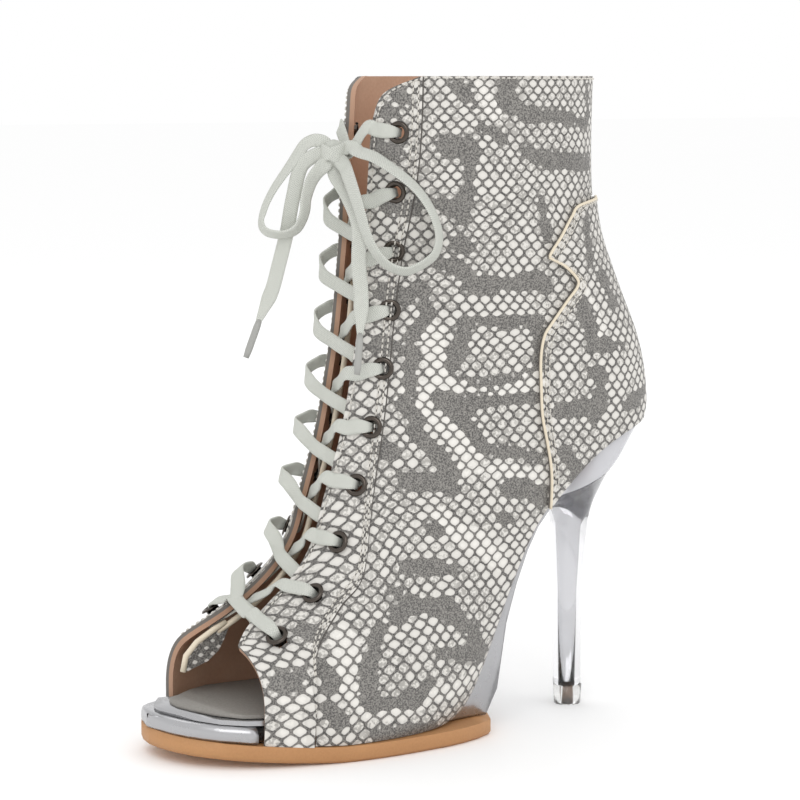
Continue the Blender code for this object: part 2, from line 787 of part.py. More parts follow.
def make_eyelets(frames, finish):
    """Turned metal eyelets, and one cutter with a hole for each."""
    depth = WALL + 2 * CLEARANCE + OVERLAY
    profile = [
        (EYELET_BORE, -depth),
        (EYELET_BARREL, CLEARANCE),
        (EYELET_FLANGE, CLEARANCE + 0.3),
        (0.81 * EYELET_FLANGE, CLEARANCE + 0.95),
        (EYELET_BORE, CLEARANCE + 0.4),
    ]
    points, faces = [], []
    for side, word in ((-1, "lateral"), (1, "medial")):
        for n, (_, centre, normal) in enumerate(frames[side], 1):
            turned(f"eyelet_{word}_{n:02d}", profile, centre, normal, EYELET_SIDES, finish)
            turn = normal.to_track_quat("Z", "Y")
            hole = EYELET_BARREL + CLEARANCE + 0.25
            ends = []
            for rise in (-depth - 3, 4.0):
                ends.append([
                    centre + turn @ Vector((hole * math.cos(a), hole * math.sin(a), rise))
                    for a in (2 * math.pi * (k + 0.5) / 8 for k in range(8))
                ])
            more_points, more_faces = lofted(ends)
            start = len(points)
            points += more_points
            faces += [[start + k for k in face] for face in more_faces]
    return hidden(piece("eyelet_holes", points, faces, finish))


# Upper and its overlays
def make_upper(rows, holes, finish):
    """One hollow wall, open at the collar, throat and toe and underneath."""
    outside, faces = upper_grid(0.0, rows)
    inside, _ = upper_grid(-WALL, rows)
    upper = piece("upper", *thickened(inside, outside, faces), finish)
    boolean(upper, holes, "DIFFERENCE")
    return upper


def overlay_shell(name, rows, sides, gap, finish):
    """Shell over one or both sides of the upper, from which an overlay is cut."""
    near, faces = upper_grid(gap, rows, sides)
    far, _ = upper_grid(gap + OVERLAY, rows, sides)
    return piece(name, *thickened(near, far, faces), finish)


COUNTER_GAP = 0.6


def make_counter(rows, finish):
    """Heel counter with its winged front edge."""
    outline = [(along(p.x), height(p.level)) for p in COUNTER_OUTLINE]
    outline += [(REAR_REACH + 20, height(1.66)), (REAR_REACH + 20, height(0.7))]
    counter = overlay_shell("counter", rows, (-1, 1), COUNTER_GAP, finish)
    boolean(counter, prism("counter_cutter", outline, -60, 60, finish), "INTERSECT")
    return counter


def make_eyestay(name, side, rows, holes, finish):
    """Front panel from the collar to the toe strap on one side."""
    outline = [(along(p.x), height(p.level)) for p in SEAM_OUTLINE]
    outline += [(-FORE_REACH, height(2.1)), (-FORE_REACH, height(-0.1))]
    panel = overlay_shell(name, rows, (side,), CLEARANCE, finish)
    low_y, high_y = (-60, -1) if side < 0 else (1, 60)
    boolean(panel, holes, "DIFFERENCE")
    boolean(panel, prism(name + "_cutter", outline, low_y, high_y, finish), "INTERSECT")
    return panel


# Strip under the inner edge of the throat: distances of its free and hidden edges from the throat's
# edge, at positions in rows of the upper
Strip = namedtuple("Strip", "position free hidden")
TONGUE_STRIP = [
    Strip(0.25, 8.0, 13.0),
    Strip(0.9, 3.5, 11.5),
    Strip(1.8, 1.2, 9.0),
    Strip(3.0, 0.9, 8.0),
    Strip(7.0, 0.9, 7.5),
    Strip(12.0, 0.9, 7.5),
    Strip(17.5, 0.9, 7.0),
    Strip(18.4, 2.0, 5.0),
]
TONGUE_THICKNESS = 1.4
TONGUE_DEPTH = WALL + 2 * CLEARANCE + LACE_THICKNESS + 1.4
TONGUE_ROWS = 18


def make_tongue(finish):
    """Narrow underlay inside the inner edge of the throat, from the toe to the ankle."""
    near, far = [], []
    width = 3
    for k in range(TONGUE_ROWS):
        position, free, back = blend(TONGUE_STRIP, (len(TONGUE_STRIP) - 1) * k / (TONGUE_ROWS - 1))
        for m in range(width):
            inset = free + (back - free) * m / (width - 1)
            curve = section_curve(position, 1)
            lengths = measured(curve)
            spot = at_length(curve, lengths, lengths[-1] - inset)
            normal = facing(share_spot, position, 1, 1 - inset / lengths[-1])
            near.append(spot - normal * TONGUE_DEPTH)
            far.append(spot - normal * (TONGUE_DEPTH + TONGUE_THICKNESS))
    faces = []
    for k in range(TONGUE_ROWS - 1):
        for m in range(width - 1):
            a = k * width + m
            faces += [[a, a + 1, a + width + 1], [a, a + width + 1, a + width]]
    return piece("tongue", *thickened(near, far, faces), finish)


# Lace
OVER = CLEARANCE + OVERLAY + 1.2 + LACE_THICKNESS / 2
OVER_WRAP = 2.5
OVER_REACH = 2.6
OVER_GAP = 1.8
UNDER = -(WALL + CLEARANCE + 0.25 + LACE_THICKNESS / 2)
UNDER_GAP = -1.3
MEETING = -0.3
GAP_STOP = -4.5
ARM_GAP = EYELET_FLANGE + 1.2
UNDER_REACH = 7.0


def lace_spot(side, position, inset, offset):
    """Place and outward direction off the upper near the throat, or in the gap for a negative inset."""
    normal = throat_facing(position, side, max(inset, 1.0))
    if inset < 0:
        normal = Vector((normal.x, 0, normal.z)).normalized()
    spot = throat_spot(position, side, max(inset, 0.0)) + Vector((0, -side, 0)) * max(-inset, 0.0)
    return spot + normal * offset, normal


def edge_spot(side, position):
    """Place and direction of a lace where it turns round the overlay's edge."""
    normal = throat_facing(position, side, 1.0)
    edge, back = throat_spot(position, side, 0.0), throat_spot(position, side, 1.0)
    wrap = (normal - (back - edge)).normalized()
    return edge + normal * (CLEARANCE + OVERLAY) + wrap * OVER_WRAP, wrap


def ribbon_ring(spot, run, normal, beside):
    """Corners of a ribbon across its run, the first pair on the side of a given point."""
    across = run.cross(normal).normalized() * (LACE_WIDTH / 2)
    if (beside - spot).dot(across) < 0:
        across = -across
    lift = normal * (LACE_THICKNESS / 2)
    under = across * LACE_UNDERSIDE
    return [spot + across + lift, spot + under - lift, spot - under - lift, spot - across + lift]


def lace_arm(frames, side, n, middle, over):
    """Places along a strap from the gap's middle towards an eyelet, outside or inside the wall."""
    start, reach = frames[side][n][0], eyelet_inset(n)

    def position(inset):
        return start + (middle - start) * (reach - inset) / (reach + THROAT_HALF)

    if over:
        return [
            lace_spot(side, position(GAP_STOP), GAP_STOP, OVER_GAP),
            edge_spot(side, position(0.0)),
            lace_spot(side, position(OVER_REACH), OVER_REACH, OVER),
        ]
    stops = ((GAP_STOP, UNDER_GAP), (0.0, UNDER), (min(reach - ARM_GAP, UNDER_REACH), UNDER))
    return [lace_spot(side, position(inset), inset, offset) for inset, offset in stops]


def make_crossing(name, frames, n, finish):
    """Two straps that cross between eyelets n and n + 1, joined where they meet."""
    middle = sum(frames[side][k][0] for side in (-1, 1) for k in (n, n + 1)) / 4
    ends = [lace_spot(side, middle, -0.96 * THROAT_HALF, MEETING) for side in (-1, 1)]
    centre = (ends[0][0] + ends[1][0]) / 2
    outward = (ends[0][1] + ends[1][1]).normalized()
    up_out, up_in = (lace_arm(frames, side, n, middle, True) for side in (-1, 1))
    down_out, down_in = (lace_arm(frames, side, n + 1, middle, False) for side in (-1, 1))
    rising = (up_out[0][0] - down_in[0][0]).normalized()
    falling = (up_in[0][0] - down_out[0][0]).normalized()
    reach = LACE_WIDTH / (2 * rising.cross(falling).length)
    lift = outward * (LACE_THICKNESS / 2)
    corners = [centre + rising * p + falling * q for p, q in ((reach, reach), (-reach, reach), (-reach, -reach), (reach, -reach))]
    points = [corner + lift for corner in corners]
    points += [centre + (corner - centre) * LACE_UNDERSIDE - lift for corner in corners]
    faces = [[0, 1, 2, 3], [7, 6, 5, 4]]
    for arm, first, second in ((up_out, 3, 0), (up_in, 0, 1), (down_in, 1, 2), (down_out, 2, 3)):
        ring = [first, first + 4, second + 4, second]
        spots = [centre] + [spot for spot, _ in arm]
        for k in range(1, len(spots)):
            run = spots[min(k + 1, len(spots) - 1)] - spots[k - 1]
            start = len(points)
            points += ribbon_ring(spots[k], run, arm[k - 1][1], points[ring[0]])
            after = [start, start + 1, start + 2, start + 3]
            faces += [[ring[m], after[m], after[(m + 1) % 4], ring[(m + 1) % 4]] for m in range(4)]
            ring = after
        faces.append(ring)
    return piece(name, points, faces, finish)


def make_bar(name, frames, n, middle, finish):
    """Lace across the throat outside, from eyelet to eyelet, through a middle if one is given."""
    halves = []
    for side in (-1, 1):
        position = frames[side][n][0]
        half = [lace_spot(side, position, OVER_REACH, OVER), edge_spot(side, position)]
        halves.append(half if middle else half + [lace_spot(side, position, GAP_STOP, OVER_GAP)])
    through = [(Vector(middle), Vector((-1, 0, 0)))] if middle else []
    spots = halves[0] + through + halves[1][::-1]
    rings = []
    beside = spots[0][0] + Vector((0, 0, LACE_WIDTH))
    for k, (spot, normal) in enumerate(spots):
        run = spots[min(k + 1, len(spots) - 1)][0] - spots[max(k - 1, 0)][0]
        rings.append(ribbon_ring(spot, run, normal, beside))
        beside = rings[-1][0]
    return piece(name, *lofted(rings), finish)


def smooth_route(spots, step):
    """Points a step apart along a smooth curve through spots."""
    dense = []
    for k in range(len(spots) - 1):
        for m in range(12):
            dense.append(Vector(blend(spots, k + m / 12)))
    dense.append(Vector(spots[-1]))
    lengths = measured(dense)
    count = max(2, round(lengths[-1] / step))
    return [at_length(dense, lengths, lengths[-1] * k / count) for k in range(count + 1)]


def make_cord(name, spots, radius, step, finish):
    """Round tube through a route, a stand-in for the flat lace."""
    curve = bpy.data.curves.new(name, "CURVE")
    curve.dimensions = "3D"
    curve.bevel_depth = radius * MILLIMETRE
    curve.bevel_resolution = 2
    curve.use_fill_caps = True
    route = smooth_route(spots, step)
    spline = curve.splines.new("POLY")
    spline.points.add(len(route) - 1)
    for point, spot in zip(spline.points, route):
        point.co = (*(spot * MILLIMETRE), 1)
    curve.materials.append(finish)
    made = bpy.data.objects.new(name, curve)
    bpy.context.scene.collection.objects.link(made)
    return made


# Bow: the knot, and the routes of the loops, ends and their tips
KNOT_CENTRE = (12.6, 1.6, 223.0)
KNOT_HALF = (4.6, 3.2, 5.6)
PICTURE_TURN = 29.8
TOP_BAR_MIDDLE = (19.4, 0.0, 225.0)
LOOP_LEFT = [
    (10.2, 4.5, 226.9), (8.6, 6.4, 228), (5, 9, 227), (-1, 12, 218), (-7, 14, 209), (-11, 14, 201), (-13, 10, 195),
    (-8, 5.5, 193), (-3, 2.5, 195), (0, 1.5, 201), (1, 1.5, 208), (4.5, 2, 215), (7.5, 1, 218), (8.9, 1.2, 219.4),
]
LOOP_RIGHT = [
    (15.8, -1.8, 225.2), (17, -4, 226), (17, -10, 224), (20, -17, 222), (26, -25, 216), (32, -28, 210), (37, -30, 202), (40, -30, 193),
    (38, -30, 186), (33, -28, 182), (28, -26, 180), (22, -24, 182), (17, -23, 187), (14, -21, 194),
    (12, -18, 205), (12, -11, 215), (13.4, -5, 219), (13.4, -2.3, 220.6),
]
END_LEFT = [(8, 4.4, 223), (6.8, 5, 222.6), (2, 8, 218), (-2, 8, 204), (-4, 8, 194), (-8, 8, 180), (-10, 9, 172), (-15, 9, 162)]
AGLET_LEFT = [(-15.3, 9, 161.2), (-20.6, 10, 147)]
END_RIGHT = [(12.1, 0.3, 217), (12, 0, 215.6), (13, -8, 208), (14, -15, 197), (13, -17, 183), (14, -17, 171), (13, -18, 158)]
AGLET_RIGHT = [(13, -18, 157), (10, -21, 142)]
CORD_STEP = 7.5


def make_knot(finish):
    """Rounded knot of the bow, broad in the picture's plane."""
    turn = -math.radians(PICTURE_TURN)
    rings = []
    for k in range(7):
        rise = -math.cos(math.pi * (k + 0.7) / 7.4)
        wide = math.sqrt(max(1 - rise * rise, 0.02))
        ring = []
        for m in range(10):
            angle = 2 * math.pi * m / 10
            x, y = KNOT_HALF[0] * wide * math.cos(angle), KNOT_HALF[1] * wide * math.sin(angle)
            ring.append(Vector(KNOT_CENTRE) + Vector((
                x * math.cos(turn) - y * math.sin(turn),
                x * math.sin(turn) + y * math.cos(turn),
                KNOT_HALF[2] * rise,
            )))
        rings.append(ring)
    return piece("knot", *lofted(rings), finish)


def make_bow(lace, tip):
    """Knot, two loops, two hanging ends and the tip on each end."""
    make_knot(lace)
    for name, route in (("loop_left", LOOP_LEFT), ("loop_right", LOOP_RIGHT), ("end_left", END_LEFT),
                        ("end_right", END_RIGHT)):
        make_cord(name, route, CORD_RADIUS, CORD_STEP, lace)
    for name, route in (("aglet_left", AGLET_LEFT), ("aglet_right", AGLET_RIGHT)):
        make_cord(name, route, AGLET_RADIUS, CORD_STEP, tip)


def main():
    for old in list(bpy.data.objects):
        bpy.data.objects.remove(old, do_unlink=True)
    skin = material("snakeskin_print", (0.75, 0.73, 0.70), 0.5)
    tan = material("tan_sole", (0.62, 0.36, 0.18), 0.6)
    silver = material("silver_wrap", (0.72, 0.72, 0.74), 0.25, 0.9)
    grey_pad = material("grey_pad", (0.35, 0.33, 0.31), 0.6)
    clear = material("clear_acrylic", (0.9, 0.9, 0.95), 0.05, 0.0, 0.9)
    bronze = material("dark_bronze", (0.22, 0.19, 0.16), 0.35, 1.0)
    lace = material("grey_lace", (0.62, 0.62, 0.59), 0.8)
    tip = material("grey_aglet", (0.50, 0.50, 0.50), 0.35)

    rows = row_positions()
    frames = eyelet_frames()
    make_outsole(tan)
    tree = wall_tree(rows)
    make_platform(tree, silver)
    foot_layer("insole", tree, -FORE_REACH + 3.0, INSOLE_REAR, 0.0, INSOLE_THICKNESS, 0.0, silver)
    pad_lift = INSOLE_THICKNESS + CLEARANCE
    foot_layer("sock_pad", tree, -FORE_REACH + 9.0, INSOLE_REAR - 3.0, pad_lift, PAD_THICKNESS, 3.0, grey_pad)
    make_heel(tree, clear)
    make_heel_tip(clear)
    holes = make_eyelets(frames, bronze)
    make_upper(rows, holes, skin)
    make_counter(rows, skin)
    make_eyestay("eyestay_lateral", -1, rows, holes, skin)
    make_eyestay("eyestay_medial", 1, rows, holes, skin)
    make_tongue(skin)
    make_bar("lace_top", frames, 0, TOP_BAR_MIDDLE, lace)
    for n in range(1, EYELETS_A_SIDE - 1):
        make_crossing(f"lace_crossing_{n}", frames, n, lace)
    make_bar("lace_bottom", frames, EYELETS_A_SIDE - 1, None, lace)
    make_bow(lace, tip)


main()
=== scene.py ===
"""Lace-up dance boot in snakeskin print with a clear heel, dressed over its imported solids."""
import math
from collections import namedtuple
from functools import lru_cache

import bmesh
import bpy
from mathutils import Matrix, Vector, noise
from mathutils.bvhtree import BVHTree


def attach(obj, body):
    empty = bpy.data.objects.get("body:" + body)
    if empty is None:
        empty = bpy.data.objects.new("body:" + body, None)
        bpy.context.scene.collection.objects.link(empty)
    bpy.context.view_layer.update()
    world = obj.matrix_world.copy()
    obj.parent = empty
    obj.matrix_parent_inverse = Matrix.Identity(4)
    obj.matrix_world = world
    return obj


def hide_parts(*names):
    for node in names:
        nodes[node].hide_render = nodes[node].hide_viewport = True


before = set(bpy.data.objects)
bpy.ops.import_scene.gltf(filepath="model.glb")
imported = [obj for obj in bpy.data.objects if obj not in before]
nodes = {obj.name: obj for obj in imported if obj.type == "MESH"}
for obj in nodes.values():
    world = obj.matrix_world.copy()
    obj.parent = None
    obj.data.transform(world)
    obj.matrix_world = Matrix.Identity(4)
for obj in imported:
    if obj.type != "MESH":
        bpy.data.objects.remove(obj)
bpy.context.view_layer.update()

# Camera, at the photograph's angle
MILLIMETRE = 0.001
CAMERA_TURN = math.radians(29.8)
CAMERA_PITCH = math.radians(7.1)
CAMERA_DISTANCE = 1.0
CAMERA_AIM = Vector((0.0400, -0.0007, 0.1284))
LENS = 117.0
FILM = 36.0
PICTURE_SIDE = 800
TO_CAMERA = Vector((
    -math.sin(CAMERA_TURN) * math.cos(CAMERA_PITCH),
    -math.cos(CAMERA_TURN) * math.cos(CAMERA_PITCH),
    math.sin(CAMERA_PITCH),
))
RIGHTWARD = Vector((math.cos(CAMERA_TURN), -math.sin(CAMERA_TURN), 0.0))
UPWARD = TO_CAMERA.cross(RIGHTWARD)
camera_data = bpy.data.cameras.new("camera")
camera_data.lens = LENS
camera_data.sensor_width = FILM
camera = bpy.data.objects.new("camera", camera_data)
camera.location = CAMERA_AIM + TO_CAMERA * CAMERA_DISTANCE
camera.rotation_euler = TO_CAMERA.to_track_quat("Z", "Y").to_euler()
bpy.context.scene.collection.objects.link(camera)
bpy.context.scene.camera = camera

# Lines of sight, in millimetres and in points of the 800 by 800 photograph
EYE = camera.location / MILLIMETRE
FOCAL = LENS / FILM * PICTURE_SIDE


def line_of_sight(x, y):
    """Direction from the camera through a point of the photograph."""
    middle = PICTURE_SIDE / 2
    return -TO_CAMERA + RIGHTWARD * ((x - middle) / FOCAL) + UPWARD * ((middle - y) / FOCAL)


# Sizes of the boot in millimetres, the same as its solids'
FORE_REACH = 64.5
REAR_REACH = 152.0
BALL_HALF = 41.5
SEAT_HEIGHT = 116.0
SHAFT_HEIGHT = 136.0
TOE_SPRING = 5.2
SPRING_START = -4.0
WALL = 1.8
OVERLAY = 1.0
COUNTER_GAP = 0.6
CLEARANCE = 0.3
THROAT_HALF = 9.5

# Eyelets and lace
EYELETS_A_SIDE = 10
EYELET_PITCH = 22.1
EYELET_FIRST = 31.0
EYELET_INSET = 11.0
EYELET_TOE_INSET = 15.0
EYELET_LIFT = 0.3
LACE_BREADTH = 5.6
LACE_THICKNESS = 1.0

# Heel
HEEL_TIP_HEIGHT = 7.6
HEEL_CENTRE = 118.5
HEEL_DROP = 1.0

# Sections of the upper, from the toe opening to the collar. A section lies in a plane through its
# low (or back) point and its front point. Lengths forward and back are shares of FORE_REACH and
# REAR_REACH. A level of 0 is the floor, 1 the heel seat and 2 the collar. Half widths are shares
# of BALL_HALF, widest is the share of the way up where the section is broadest, and low_power and
# high_power say how square its lower and upper halves are. throat is the half opening as a share of
# THROAT_HALF, and skew how far a section swings forward on the inner side.
Section = namedtuple(
    "Section", "low_x low_level front_x front_level outer inner widest low_power high_power throat skew"
)
SECTIONS = [
    Section(-0.64, -0.010, -0.64, 0.392, 0.75, 0.61, 0.45, 5.0, 2.3, 1.75, -0.22),
    Section(-0.547, -0.015, -0.547, 0.420, 0.81, 0.70, 0.42, 5.0, 2.2, 1.35, -0.19),
    Section(-0.437, -0.017, -0.445, 0.455, 0.86, 0.78, 0.40, 5.0, 2.1, 1.12, -0.15),
    Section(-0.297, -0.017, -0.320, 0.505, 0.91, 0.85, 0.37, 5.0, 2.0, 1.00, -0.11),
    Section(-0.133, -0.017, -0.203, 0.560, 0.94, 0.91, 0.34, 5.0, 2.0, 1.00, -0.07),
    Section(0.020, -0.017, -0.113, 0.620, 0.96, 0.95, 0.32, 5.0, 1.95, 1.00, -0.03),
    Section(0.105, -0.017, -0.045, 0.688, 0.965, 0.94, 0.31, 4.5, 1.9, 1.00, 0.0),
    Section(0.197, -0.014, -0.005, 0.762, 0.94, 0.91, 0.30, 4.0, 1.9, 1.00, 0.0),
    Section(0.283, 0.000, 0.010, 0.835, 0.91, 0.87, 0.31, 3.4, 1.9, 1.00, 0.0),
    Section(0.368, 0.052, 0.023, 0.905, 0.86, 0.83, 0.32, 3.0, 1.9, 1.00, 0.0),
    Section(0.441, 0.172, 0.036, 0.975, 0.81, 0.79, 0.34, 2.8, 1.9, 1.00, 0.0),
    Section(0.513, 0.328, 0.049, 1.037, 0.78, 0.77, 0.37, 2.7, 1.9, 1.00, 0.0),
    Section(0.599, 0.491, 0.062, 1.103, 0.76, 0.76, 0.40, 2.6, 1.95, 1.00, 0.0),
    Section(0.711, 0.655, 0.072, 1.169, 0.75, 0.75, 0.42, 2.5, 2.0, 1.00, 0.0),
    Section(0.842, 0.802, 0.081, 1.243, 0.75, 0.75, 0.43, 2.4, 2.0, 1.00, 0.0),
    Section(0.938, 0.914, 0.089, 1.316, 0.75, 0.75, 0.44, 2.4, 2.0, 1.00, 0.0),
    Section(0.971, 1.011, 0.096, 1.390, 0.75, 0.75, 0.45, 2.4, 2.0, 1.00, 0.0),
    Section(0.976, 1.085, 0.102, 1.448, 0.75, 0.75, 0.46, 2.3, 2.0, 1.00, 0.0),
    Section(0.964, 1.170, 0.108, 1.507, 0.75, 0.75, 0.47, 2.3, 2.0, 1.00, 0.0),
    Section(0.940, 1.255, 0.114, 1.566, 0.75, 0.75, 0.48, 2.3, 2.0, 1.00, 0.0),
    Section(0.905, 1.345, 0.121, 1.632, 0.76, 0.76, 0.49, 2.2, 2.1, 1.00, 0.0),
    Section(0.866, 1.440, 0.127, 1.691, 0.77, 0.77, 0.50, 2.2, 2.1, 1.00, 0.0),
    Section(0.832, 1.543, 0.133, 1.757, 0.78, 0.78, 0.50, 2.1, 2.1, 1.00, 0.0),
    Section(0.812, 1.660, 0.139, 1.824, 0.79, 0.79, 0.50, 2.1, 2.1, 1.00, 0.0),
    Section(0.806, 1.785, 0.145, 1.890, 0.80, 0.80, 0.50, 2.1, 2.1, 1.05, 0.0),
    Section(0.807, 1.900, 0.150, 1.955, 0.80, 0.80, 0.50, 2.1, 2.1, 1.40, 0.0),
    Section(0.809, 2.000, 0.155, 2.000, 0.80, 0.80, 0.50, 2.1, 2.1, 2.45, 0.0),
]

# Lower edge of the upper and underside of the insole, seen from the side
Line = namedtuple("Line", "x level")
EDGE_LINE = (
    Line(0.10, 0.057),
    Line(0.21, 0.058),
    Line(0.29, 0.070),
    Line(0.342, 0.105),
    Line(0.382, 0.160),
    Line(0.415, 0.250),
    Line(0.447, 0.355),
    Line(0.493, 0.500),
    Line(0.553, 0.665),
    Line(0.600, 0.745),
    Line(0.670, 0.835),
    Line(0.750, 0.918),
    Line(0.855, 0.980),
    Line(0.985, 1.014),
)
INSOLE_LINE = (
    Line(-0.98, 0.106),
    Line(-0.50, 0.115),
    Line(0.08, 0.122),
    Line(0.21, 0.136),
    Line(0.296, 0.166),
    Line(0.342, 0.205),
    Line(0.382, 0.262),
    Line(0.415, 0.328),
    Line(0.447, 0.402),
    Line(0.500, 0.528),
    Line(0.559, 0.672),
    Line(0.600, 0.747),
    Line(0.670, 0.837),
    Line(0.750, 0.920),
    Line(0.855, 0.982),
    Line(0.990, 1.002),
)
# Outline of the counter and of the front panel's seam, seen from the side
COUNTER_OUTLINE = [
    Line(0.598, 0.70),
    Line(0.590, 0.86),
    Line(0.572, 0.97),
    Line(0.556, 1.06),
    Line(0.552, 1.18),
    Line(0.560, 1.27),
    Line(0.582, 1.31),
    Line(0.632, 1.37),
    Line(0.664, 1.41),
    Line(0.660, 1.435),
    Line(0.615, 1.475),
    Line(0.572, 1.495),
    Line(0.610, 1.555),
    Line(0.650, 1.610),
    Line(0.690, 1.640),
    Line(0.860, 1.660),
]
SEAM_OUTLINE = [
    Line(-0.270, -0.10),
    Line(-0.262, 0.12),
    Line(-0.240, 0.30),
    Line(-0.200, 0.37),
    Line(-0.120, 0.43),
    Line(-0.010, 0.50),
    Line(0.050, 0.575),
    Line(0.085, 0.72),
    Line(0.115, 0.88),
    Line(0.140, 1.03),
    Line(0.168, 1.22),
    Line(0.190, 1.42),
    Line(0.212, 1.60),
    Line(0.232, 1.78),
    Line(0.246, 2.10),
]


def along(share):
    """Distance from the ball for a share of the reach forward or back."""
    return share * (FORE_REACH if share < 0 else REAR_REACH)


def height(level):
    """Height above the floor for a level."""
    return level * SEAT_HEIGHT if level <= 1 else SEAT_HEIGHT + (level - 1) * SHAFT_HEIGHT


def spring(x):
    """Lift of the sole towards the toe."""
    return TOE_SPRING * max(0.0, (SPRING_START - x) / (FORE_REACH + SPRING_START)) ** 1.15


def blend(table, position):
    """Smooth value between the rows of a table, for a position counted in rows."""
    i = min(max(int(position), 0), len(table) - 2)
    t = position - i
    before, first, second, after = (table[min(max(k, 0), len(table) - 1)] for k in (i - 1, i, i + 1, i + 2))
    result = []
    for p, a, b, q in zip(before, first, second, after):
        slope_a, slope_b = (b - p) / 2, (q - a) / 2
        result.append(
            a + slope_a * t
            + (3 * (b - a) - 2 * slope_a - slope_b) * t * t
            + (2 * (a - b) + slope_a + slope_b) * t ** 3
        )
    return result


@lru_cache(maxsize=None)
def line_spots(line):
    """Distances and heights of a side-view line in millimetres."""
    return [(along(p.x), height(p.level)) for p in line]


def on_line(line, x):
    """Height of a side-view line at a distance from the ball, level past its ends."""
    spots = line_spots(line)
    if x <= spots[0][0]:
        return spots[0][1]
    if x >= spots[-1][0]:
        return spots[-1][1]
    for i in range(len(spots) - 1):
        if x <= spots[i + 1][0]:
            break
    before = spots[max(i - 1, 0)]
    after = spots[min(i + 2, len(spots) - 1)]
    (x0, z0), (x1, z1) = spots[i], spots[i + 1]
    t = (x - x0) / (x1 - x0)
    slope_0 = (z1 - before[1]) / (x1 - before[0])
    slope_1 = (after[1] - z0) / (after[0] - x0)
    d = x1 - x0
    return (
        z0 * (1 + 2 * t) * (1 - t) ** 2
        + slope_0 * d * t * (1 - t) ** 2
        + z1 * t * t * (3 - 2 * t)
        + slope_1 * d * t * t * (t - 1)
    )


@lru_cache(maxsize=None)
def section_at(position):
    """Low point, front point, half widths and shape of the upper at a position in rows."""
    row = Section(*blend(SECTIONS, position))
    low = Vector((along(row.low_x), 0, height(row.low_level) + spring(along(row.low_x))))
    front = Vector((along(row.front_x), 0, height(row.front_level)))
    return row, low, front


def ring_spot(row, low, front, side, turn):
    """Point of a section for a turn of 0 at its low point to 1 at its front point."""
    half = BALL_HALF * (row.outer if side < 0 else row.inner)
    if turn < 0.5:
        angle = turn * math.pi
        rise = row.widest * (1 - math.cos(angle) ** (2 / row.low_power))
        wide = math.sin(angle) ** (2 / row.low_power)
    else:
        angle = (turn - 0.5) * math.pi
        rise = row.widest + (1 - row.widest) * math.sin(angle) ** (2 / row.high_power)
        wide = max(math.cos(angle), 0.0) ** (2 / row.high_power)
    spot = low.lerp(front, rise)
    spot.y = side * half * wide
    spot.x += row.skew * spot.y
    return spot


RING_STEPS = 80


@lru_cache(maxsize=None)
def section_curve(position, side):
    """Dense outline of one side of the upper, from its lower edge or back to the throat's edge."""
    row, low, front = section_at(position)
    gap = THROAT_HALF * row.throat
    curve = []
    last = None
    for k in range(RING_STEPS + 1):
        spot = ring_spot(row, low, front, side, k / RING_STEPS)
        above = spot.z - lower_edge(spot.x)
        if above >= 0 or (curve and k > RING_STEPS / 4):
            if last is not None and not curve and last[1] < 0:
                curve.append(last[0].lerp(spot, last[1] / (last[1] - above)))
            inside = abs(spot.y) - gap
            if curve and k > RING_STEPS / 2 and inside < 0:
                before = abs(curve[-1].y) - gap
                curve.append(curve[-1].lerp(spot, before / (before - inside)))
                break
            curve.append(spot)
        last = (spot, above)
    return curve


def lower_edge(x):
    """Height of the upper's lower edge at a distance from the ball."""
    if x > along(EDGE_LINE[-1].x):
        return -1000.0
    return on_line(EDGE_LINE, x) + spring(x)


def measured(curve):
    """Running length of a curve."""
    lengths = [0.0]
    for a, b in zip(curve, curve[1:]):
        lengths.append(lengths[-1] + (b - a).length)
    return lengths


def at_length(curve, lengths, length):
    """Point of a curve at a length from its start, straight on past its ends."""
    i = 0
    while i < len(lengths) - 2 and lengths[i + 1] < length:
        i += 1
    t = (length - lengths[i]) / max(lengths[i + 1] - lengths[i], 1e-9)
    return curve[i] + (curve[i + 1] - curve[i]) * t


def share_spot(position, side, share):
    """Point of the upper's outside at a share of the way from its lower edge to its throat."""
    curve = section_curve(position, side)
    lengths = measured(curve)
    return at_length(curve, lengths, share * lengths[-1])


def throat_spot(position, side, inset):
    """Point of the facet next to the throat at a distance from the throat's edge."""
    edge = share_spot(position, side, 1.0)
    back = share_spot(position, side, 1.0 - 1.0 / COLUMNS)
    return edge + (back - edge).normalized() * inset


# Step for slopes, and the columns whose last facet carries the eyelets
NUDGE = 0.02
COLUMNS = 8


def facing(spot, position, side, value):
    """Outward direction of the upper's outside at a point that spot() gives."""
    last = len(SECTIONS) - 1
    down, up = max(position - NUDGE, 0), min(position + NUDGE, last)
    across = spot(position, side, value + NUDGE) - spot(position, side, value - NUDGE)
    lengthwise = spot(up, side, value) - spot(down, side, value)
    normal = across.cross(lengthwise) * side
    return normal.normalized()


def throat_facing(position, side, inset):
    """Outward direction near the throat's edge."""
    return -facing(throat_spot, position, side, inset)


def closing_position():
    """Position at which the low point of a section comes out above the heel seat."""
    low, high = 13.0, 17.0
    for _ in range(40):
        middle = (low + high) / 2
        spot = section_at(middle)[1]
        if spot.z >= lower_edge(spot.x):
            high = middle
        else:
            low = middle
    return high


def eyelet_inset(n):
    """Distance of an eyelet from the throat's edge, which grows towards the toe."""
    return EYELET_INSET + (EYELET_TOE_INSET - EYELET_INSET) * (n / (EYELETS_A_SIDE - 1)) ** 2


